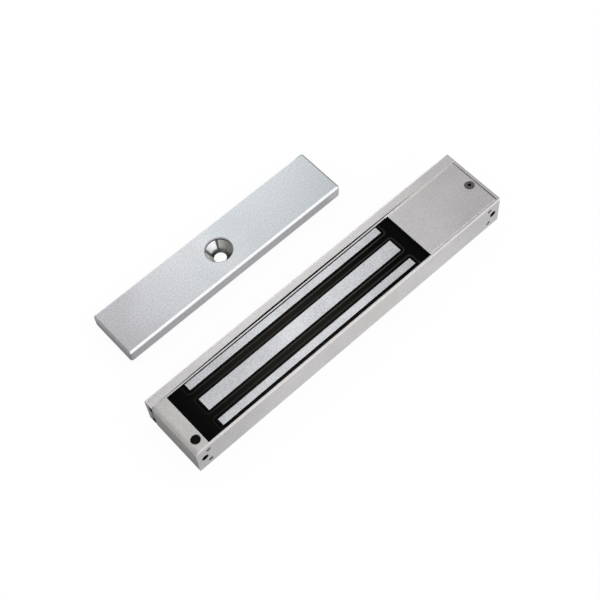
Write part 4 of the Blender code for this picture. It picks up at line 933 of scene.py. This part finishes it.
def buildBoard():
    edge, sunk = boardLook["edge"], boardHigh.z - boardLook["sunk"]
    shape = newBlock(boardLow, boardHigh)
    softenEdges(shape, edge, 2)
    shape = carve(shape, *[boreCutter(footOf(f"board_screw_{number}"), "Z", boardLook["screwHole"],
                                      boardLow.z, boardHigh.z, edge, edge, 32) for number in (1, 2)])
    makePiece("controlBoard", shape, [boardFinish], ["control_board"])
    size, tall = boardLook["solder"], boardLook["solderHeight"]
    dome = [(0, -boardLook["sunk"]), (size, -boardLook["sunk"]), (size, boardLook["solderFoot"]),
            (size * 0.8, tall * 0.6), (size * 0.45, tall * 0.9), (0, tall)]
    pads = [turnProfile(dome, (*pad, boardHigh.z), "Z", 20) for pad in boardLook["pads"]]
    makePiece("boardSolder", together(*pads), [tinFinish])
    runs = [newBlock((*start, sunk), (*end, boardHigh.z + boardLook["runHeight"]))
            for start, end in boardLook["runs"]]
    for run in runs:
        softenEdges(run, boardLook["runEdge"], 1)
    makePiece("boardTraces", together(*runs), [boardFinish])


def buildBoardScrews():
    mouth, shank = standoffLook["mouth"], boardScrewLook["shank"]
    tip, tipLength = boardScrewLook["tip"]
    crown, crownDrop = boardScrewLook["crown"]
    for number in (1, 2):
        low, high = nodeBox(f"board_standoff_{number}")
        spot = footOf(f"board_screw_{number}")
        pillar = hexBar(spot, "Z", standoffLook["radius"], low.z, high.z - low.z)
        softenEdges(pillar, standoffLook["edge"], 2)
        pillar = carve(pillar, boreCutter(spot, "Z", standoffLook["bore"], low.z, high.z, mouth, mouth, 32))
        makePiece(f"boardStandoff{number}", pillar, [brassFinish], [f"board_standoff_{number}"])
        low, high = nodeBox(f"board_screw_{number}")
        profile = [(0, low.z), (tip, low.z), (shank, low.z + tipLength), (shank, boardFit)]
        profile += [(radius, boardFit + up) for radius, up in boardScrewLook["head"]]
        shape = turnProfile(profile + [(crown, high.z - crownDrop), (0, high.z)], spot, "Z", 32)
        shape = carve(shape, slotCutter(spot, boardFit + boardScrewLook["slotBottom"], high.z))
        makePiece(f"boardScrew{number}", shape, [nickelFinish], [f"board_screw_{number}"])


def buildTerminals():
    low, high = nodeBox("terminal_block")
    step, parting = terminalLook["step"], terminalLook["parting"]
    outline = [(low.y, low.z), (high.y, low.z), (high.y, high.z - step), (high.y - step, high.z),
               (low.y, high.z)]
    shape = extrudeOutline(outline, "X", low.x, high.x - low.x)
    softenEdges(shape, terminalLook["edge"], 3)
    wide, tall, deep = terminalLook["mouth"]
    boreHalf, boreBack, boreUp = terminalLook["clampWall"]
    half, clampFit = wide / 2, terminalLook["clampFit"]
    bottom, back = low.z + deep - tall, high.y - deep
    cutters, clamps = [], []
    for number in (1, 2):
        node = f"terminal_screw_{number}"
        spot = footOf(node)
        cutters.append(boreCutter(spot, "Z", terminalLook["well"], high.z - terminalLook["wellDepth"],
                                  high.z, squareStart, terminalLook["wellMouth"], 40))
        mouth = newBlock((spot.x - half, back, bottom), (spot.x + half, high.y + past, bottom + tall))
        softenEdges(mouth, terminalLook["mouthCorner"], 3, lambda middle, along: abs(along.y) > 1)
        cutters.append(mouth)
        clamp = newBlock((spot.x - half + clampFit, back + clampFit, bottom + clampFit),
                         (spot.x + half - clampFit, high.y - terminalLook["clampSet"],
                          bottom + tall - clampFit))
        softenEdges(clamp, clampFit, 2)
        clamps.append(carve(clamp, newBlock((spot.x - boreHalf, back + boreBack, bottom + boreUp),
                                            (spot.x + boreHalf, high.y, bottom + tall - boreUp))))
        screwLow, screwHigh = nodeBox(node)
        profile = [(0, screwLow.z), (terminalLook["screw"], screwLow.z)]
        profile += [(radius, screwHigh.z - down) for radius, down in terminalLook["screwRim"]]
        slot = slotCutter(spot, screwHigh.z - terminalLook["slot"], screwHigh.z)
        screw = carve(turnProfile(profile, spot, "Z", 32), slot)
        makePiece(f"terminalScrew{number}", screw, [nickelFinish], [node], node)
    middle = middleOf("terminal_block").x
    cutters.append(newBlock((middle - parting, low.y - past, high.z - terminalLook["partingDepth"]),
                            (middle + parting, high.y + past, high.z + past)))
    makePiece("terminalBlock", carve(shape, *cutters), [greenFinish], ["terminal_block"])
    makePiece("terminalClamps", together(*clamps), [tinFinish])


def buildHeader():
    low, high = nodeBox("pin_header")
    base = newBlock(low, (high.x, high.y, low.z + headerLook["base"]))
    softenEdges(base, headerLook["corner"], 1, isUpright)
    softenEdges(base, headerLook["edge"], 2)
    makePiece("pinHeaderBase", base, [nylonFinish], ["pin_header"])
    pins = []
    centre, pin = (low + high) / 2, headerLook["pin"]
    sides = (-headerLook["pitch"] / 2, headerLook["pitch"] / 2)
    for x, y in [(centre.x + sideX, centre.y + sideY) for sideX in sides for sideY in sides]:
        pins.append(newBlock((x - pin, y - pin, low.z + headerLook["pinFoot"]), (x + pin, y + pin, high.z)))
        softenEdges(pins[-1], headerLook["pinTip"], 2, lambda middle, along: middle.z > high.z - hair)
    makePiece("pinHeaderPins", together(*pins), [goldFinish])
    bore, grip = headerLook["capBore"], headerLook["grip"]
    for number in (1, 2):
        node = f"jumper_{number}"
        low, high = nodeBox(node)
        spot = (low + high) / 2
        cap = newBlock(low, high)
        softenEdges(cap, headerLook["capEdge"], 3)
        cutters = [newBlock((spot.x - bore, spot.y + side - bore, low.z - past),
                            (spot.x + bore, spot.y + side + bore, high.z - headerLook["capTop"]))
                   for side in sides]
        cutters.append(newBlock((low.x - past, spot.y - grip, high.z - headerLook["gripDepth"]),
                                (high.x + past, spot.y + grip, high.z + past)))
        makePiece(f"jumper{number}", carve(cap, *cutters), [nylonFinish], [node], node)


def buildSuppressor():
    low, high = nodeBox("varistor")
    spot = (low + high) / 2
    radius, half = (high.x - low.x) / 2, (high.y - low.y) / 2
    flat, dish = radius * suppressorLook["flat"], half * suppressorLook["dish"]
    rim = arcPoints((radius - half, 0), half, -90, 90, 10)
    disc = turnProfile([(0, -dish), (flat, -half)] + rim + [(flat, half), (0, dish)], spot, "Y", 56)
    makePiece("surgeSuppressor", disc, [blueFinish], ["varistor"])
    legEnd = low.z + suppressorLook["legReach"]
    legs = [rod((spot.x + side * suppressorLook["legs"], spot.y, 0), "Z", suppressorLook["leg"], boardHigh.z,
                legEnd, 16) for side in (-1, 1)]
    makePiece("suppressorLegs", together(*legs), [tinFinish])


def buildGrommet():
    low, high = nodeBox("cable_grommet")
    spot = (low + high) / 2
    inner, outer, wallIn, wallOut = low.y, high.y, blockHigh.y, farFace + fit
    bore, rim, neck = grommetLook["bore"], grommetLook["rim"], grommetLook["neck"]
    soft, back = grommetLook["round"], grommetLook["back"]
    profile = [(bore, inner + soft), (bore + soft, inner), (rim - soft, inner), (rim, inner + soft),
               (rim, wallIn - back), (rim - back, wallIn), (neck, wallIn), (neck, wallOut),
               (rim - back, wallOut), (rim, wallOut + back), (rim, outer - soft), (rim - soft, outer),
               (bore + soft, outer), (bore, outer - soft)]
    shape = turnProfile(profile, (spot.x, 0, spot.z), "Y", 56, closed=True)
    makePiece("cableGrommet", shape, [rubberFinish], ["cable_grommet"])


buildBoard()
buildBoardScrews()
buildTerminals()
buildHeader()
buildSuppressor()
buildGrommet()
keptFinishes = {"core_rivet_1": nickelFinish, "core_rivet_2": nickelFinish, "core_rivet_3": nickelFinish,
                "coil_former": nylonFinish, "coil_winding": copperFinish, "lead_wire_1": redSheathFinish,
                "lead_wire_2": blackSheathFinish}
for node, finish in keptFinishes.items():
    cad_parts[node].data.materials.clear()
    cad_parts[node].data.materials.append(finish)
print("wiring space built")


# Armature plate with its rounded edges, countersunk hole and guide holes

armatureLook = {"corner": 1.8, "sharpCorner": 1.5, "edge": 1.3, "sink": 8.7, "lead": 2.2, "sinkAngle": 31.5,
                "bore": 4.2, "boreMouth": 0.3, "guides": 76, "guideHole": 2.6, "guideDepth": 6.0,
                "mouth": 0.7}


def buildArmature():
    ground, turned, sawn, shadedWall, rim, shearedAndShaded = range(6)
    low, high = nodeBox("armature_plate")
    centre = (low + high) / 2
    shape = newBlock(low, high)
    # sides and ends take darker copies of the steel: partly their cut surface, partly painted shade
    for face in shape.faces:
        isEnd, isSide = abs(face.normal.x) > 0.5, abs(face.normal.y) > 0.5
        face.material_index = shearedAndShaded if isEnd else sawn if isSide else ground
    softenEdges(shape, armatureLook["sharpCorner"], 3,
                lambda middle, along: abs(along.z) > 1 and middle.x > centre.x and middle.y > centre.y)
    softenEdges(shape, armatureLook["corner"], 6, lambda middle, along: abs(along.z) > 1)
    softenEdges(shape, armatureLook["edge"], 1)
    shape.normal_update()
    for face in shape.faces:
        if 0.1 < face.normal.z < 0.95 and abs(face.normal.x) < 0.3:
            face.material_index = rim  # painted highlight on the two long edges
    sink, bore, mouth = armatureLook["sink"], armatureLook["bore"], armatureLook["mouth"]
    boreMouth, foot = armatureLook["boreMouth"], footOf("armature_plate")
    leadEnd = high.z - armatureLook["lead"]
    coneEnd = leadEnd - (sink - bore) / math.tan(math.radians(armatureLook["sinkAngle"]))
    profile = [(0, low.z - past), (bore + boreMouth + past, low.z - past), (bore, low.z + boreMouth),
               (bore, coneEnd), (sink, leadEnd), (sink, high.z - mouth),
               (sink + mouth + past, high.z + past), (0, high.z + past)]
    drill = turnProfile(profile, foot, "Z", 96)
    # painted shade on the bore's wall and the countersink's lead
    for face in drill.faces:
        height = face.calc_center_median().z
        isWall = height > leadEnd + hair or height < coneEnd - hair
        face.material_index = sawn if height > high.z - mouth + hair else shadedWall if isWall else turned
    reach = Vector((armatureLook["guides"] / 2, 0, 0))
    guideEnd = low.z + armatureLook["guideDepth"] - drillPast
    guides = [paint(boreCutter(spot, "Z", armatureLook["guideHole"], low.z, guideEnd), turned)
              for spot in (foot - reach, foot + reach)]
    finishes = [armatureFinish, sinkFinish, plateEdgeFinish, shadedWallFinish, plateRimHighlightFinish, plateEndFinish]
    makePiece("armaturePlate", carve(shape, drill, *guides), finishes, ["armature_plate"],
              "armature")


buildArmature()
print("armature built")


# Stage, light and camera

stageLook = {"floorSize": 6.0, "floorColour": "#fafafa", "floorDrop": 0.0001, "glow": 0.92}
# each stop is a place along X plus slant times Y in metres, a grey, and how far it covers what is behind
cardLook = {
    # floorCard, nearCard, armatureCard and rightCard are painted shadow beside the object, seen only in
    # reflections; leftCard stands for a grey wall and skyCard for a softbox
    "floorCard": {"low": (-0.21, -0.058, -0.00005), "high": (-0.03, 0.3, -0.00005),
                  "stops": [(-0.21, "#ffffff", 0), (-0.165, "#c8c8c8", 0.8), (-0.14, "#949494", 1),
                            (-0.112, "#9b9b9b", 1), (-0.098, "#dcdcdc", 1), (-0.07, "#f1f1f1", 1),
                            (-0.03, "#ffffff", 0)]},
    "nearCard": {"low": (-0.14, -0.1, -0.00005), "high": (0.14, -0.0601, -0.00005),
                 "stops": [(-0.14, "#dcdcdc", 1), (-0.105, "#e6e6e6", 1), (-0.06, "#fcfcfc", 1),
                           (-0.02, "#ffffff", 0), (0.06, "#ffffff", 0), (0.1, "#f6f6f6", 1),
                           (0.14, "#ececec", 1)]},
    "armatureCard": {"low": (-0.2, 0.01, -0.00004), "high": (0.07, 0.08, -0.00004),
                     "stops": [(-0.2, "#9a9a9a", 0), (-0.16, "#9e9e9e", 1), (-0.112, "#9a9a9a", 1),
                               (-0.106, "#e0e0e0", 1), (-0.02, "#ebebeb", 1), (0.03, "#e4e4e4", 1),
                               (0.055, "#dedede", 1), (0.07, "#ffffff", 0)]},
    "rightCard": {"low": (0.067, 0.02, -0.00005), "high": (0.14, 0.12, -0.00005),
                  "stops": [(0.067, "#8c8c8c", 1), (0.1, "#8c8c8c", 1), (0.14, "#ffffff", 0)]},
    "leftCard": {"low": (-0.7, -0.6, 0.0), "high": (-0.7, 1.4, 0.4), "slant": 1,
                 "stops": [(-1.3, "#b4b4b4", 1), (0.7, "#b4b4b4", 1)]},
    "skyCard": {"low": (-0.8, -0.5, 1.0), "high": (1.6, 1.6, 1.0), "slant": -0.42, "strength": 2.25,
                "stops": [(-1.5, "#929292", 1), (-0.11, "#969696", 1), (-0.02, "#b0b0b0", 1),
                          (0.08, "#e8e8e8", 1), (0.14, "#ffffff", 1), (0.2, "#e8e8e8", 1),
                          (0.29, "#b8b8b8", 1), (0.38, "#828282", 1), (0.5, "#707070", 1),
                          (1.8, "#8a8a8a", 1)]},
}
worldLook = {"fill": 1.0, "fillColour": "#ffffff"}
lampLook = {
    "overhead": {"place": (0.3, 0.4, 1.2), "aim": (0, 0, 0), "size": (0.8, 0.8), "watts": 0.8},
    "frontPanel": {"place": (0.3, -1.1, 0.75), "aim": (0, 0, 0.02), "size": (1.8, 1.3), "watts": 3.0},
}
cameraLook = {"place": (-0.23702, -0.32676, 0.71384), "turn": (28.3296, 3.0377, -42.2167), "lens": 77.80,
              "sensor": 36}


def whiteToCamera(add):
    # 1 for what the camera, a mirror or glass sees, 0 for light on the object
    path = add("LightPath").outputs
    seen = add("Math", {0: path["Is Camera Ray"], 1: path["Is Glossy Ray"]}, operation="MAXIMUM")
    return add("Math", {0: seen, 1: path["Is Transmission Ray"]}, operation="MAXIMUM")


def stageSheet(name, finishName, size, place):
    # one flat face of the stage with an empty finish
    shape = bmesh.new()
    bmesh.ops.create_grid(shape, x_segments=1, y_segments=1, size=size / 2, matrix=place)
    sheet = addObject(name, shape)
    finish = bpy.data.materials.new(finishName)
    finish.use_nodes = True
    finish.node_tree.nodes.clear()
    sheet.data.materials.append(finish)
    return sheet, partial(addNode, finish.node_tree)


def buildCard(name, look):
    # a grey card that only the metal sees, shaded along X; those on the floor are painted shadow
    low, high = Vector(look["low"]), Vector(look["high"])
    span = high - low
    if span.x:
        size = Matrix.Diagonal((span.x, span.y, 1, 1))
    else:
        size = turn["X"] @ Matrix.Diagonal((span.z, span.y, 1, 1))  # an upright card
    card, add = stageSheet(name, name, 1, Matrix.Translation((low + high) / 2) @ size)
    card.visible_camera = card.visible_diffuse = card.visible_shadow = card.visible_transmission = False
    spot = add("SeparateXYZ", {0: add("TexCoord").outputs["Object"]}).outputs
    lean = add("Math", {0: spot["Y"], 1: look.get("slant", 0), 2: spot["X"]}, operation="MULTIPLY_ADD")
    start, end = look["stops"][0][0], look["stops"][-1][0]
    along = add("MapRange", {"Value": lean, "From Min": start, "From Max": end})
    stops = [((position - start) / (end - start), code, cover) for position, code, cover in look["stops"]]
    grey = add("ValToRGB", {"Fac": along}, stops)
    shown = add("Emission", {"Color": grey, "Strength": look.get("strength", 1.0)})
    clear = add("BsdfTransparent")
    both = add("MixShader", {0: grey.outputs["Alpha"], 1: clear, 2: shown})
    add("OutputMaterial", {"Surface": both})


def buildStage():
    place = Matrix.Translation((0, 0, -stageLook["floorDrop"]))
    add = stageSheet("floor", "matteWhitePaper", stageLook["floorSize"], place)[1]
    paper = add("BsdfDiffuse", {"Color": linear(stageLook["floorColour"])})
    glow = add("Emission", {"Color": linear("#ffffff"), "Strength": 1.0})
    share = add("Math", {0: whiteToCamera(add), 1: stageLook["glow"]}, operation="MULTIPLY")
    both = add("MixShader", {0: share, 1: paper, 2: glow})
    add("OutputMaterial", {"Surface": both})
    for name, look in cardLook.items():
        buildCard(name, look)


def buildLight():
    world = bpy.data.worlds.new("softStudio")
    bpy.context.scene.world = world
    world.use_nodes = True
    world.node_tree.nodes.clear()
    add = partial(addNode, world.node_tree)
    fill = add("Background", {"Color": linear(worldLook["fillColour"]), "Strength": worldLook["fill"]})
    white = add("Background", {"Color": linear("#ffffff"), "Strength": 1.0})
    both = add("MixShader", {0: whiteToCamera(add), 1: fill, 2: white})
    add("OutputWorld", {"Surface": both})
    for name, look in lampLook.items():
        data = bpy.data.lights.new(name, "AREA")
        data.shape = "RECTANGLE"
        data.size, data.size_y = look["size"]
        data.energy = look["watts"]
        lamp = bpy.data.objects.new(name, data)
        lamp.location = look["place"]
        aim = Vector(look["aim"]) - Vector(look["place"])
        lamp.rotation_euler = aim.to_track_quat("-Z", "Y").to_euler()
        bpy.context.scene.collection.objects.link(lamp)


def buildCamera():
    data = bpy.data.cameras.new("camera")
    data.sensor_width = cameraLook["sensor"]
    data.lens = cameraLook["lens"]
    camera = bpy.data.objects.new("camera", data)
    camera.location = cameraLook["place"]
    camera.rotation_euler = [math.radians(angle) for angle in cameraLook["turn"]]
    bpy.context.scene.collection.objects.link(camera)
    bpy.context.scene.camera = camera
    bpy.context.scene.view_settings.view_transform = "Standard"


buildStage()
buildLight()
buildCamera()
print("stage, light and camera ready")
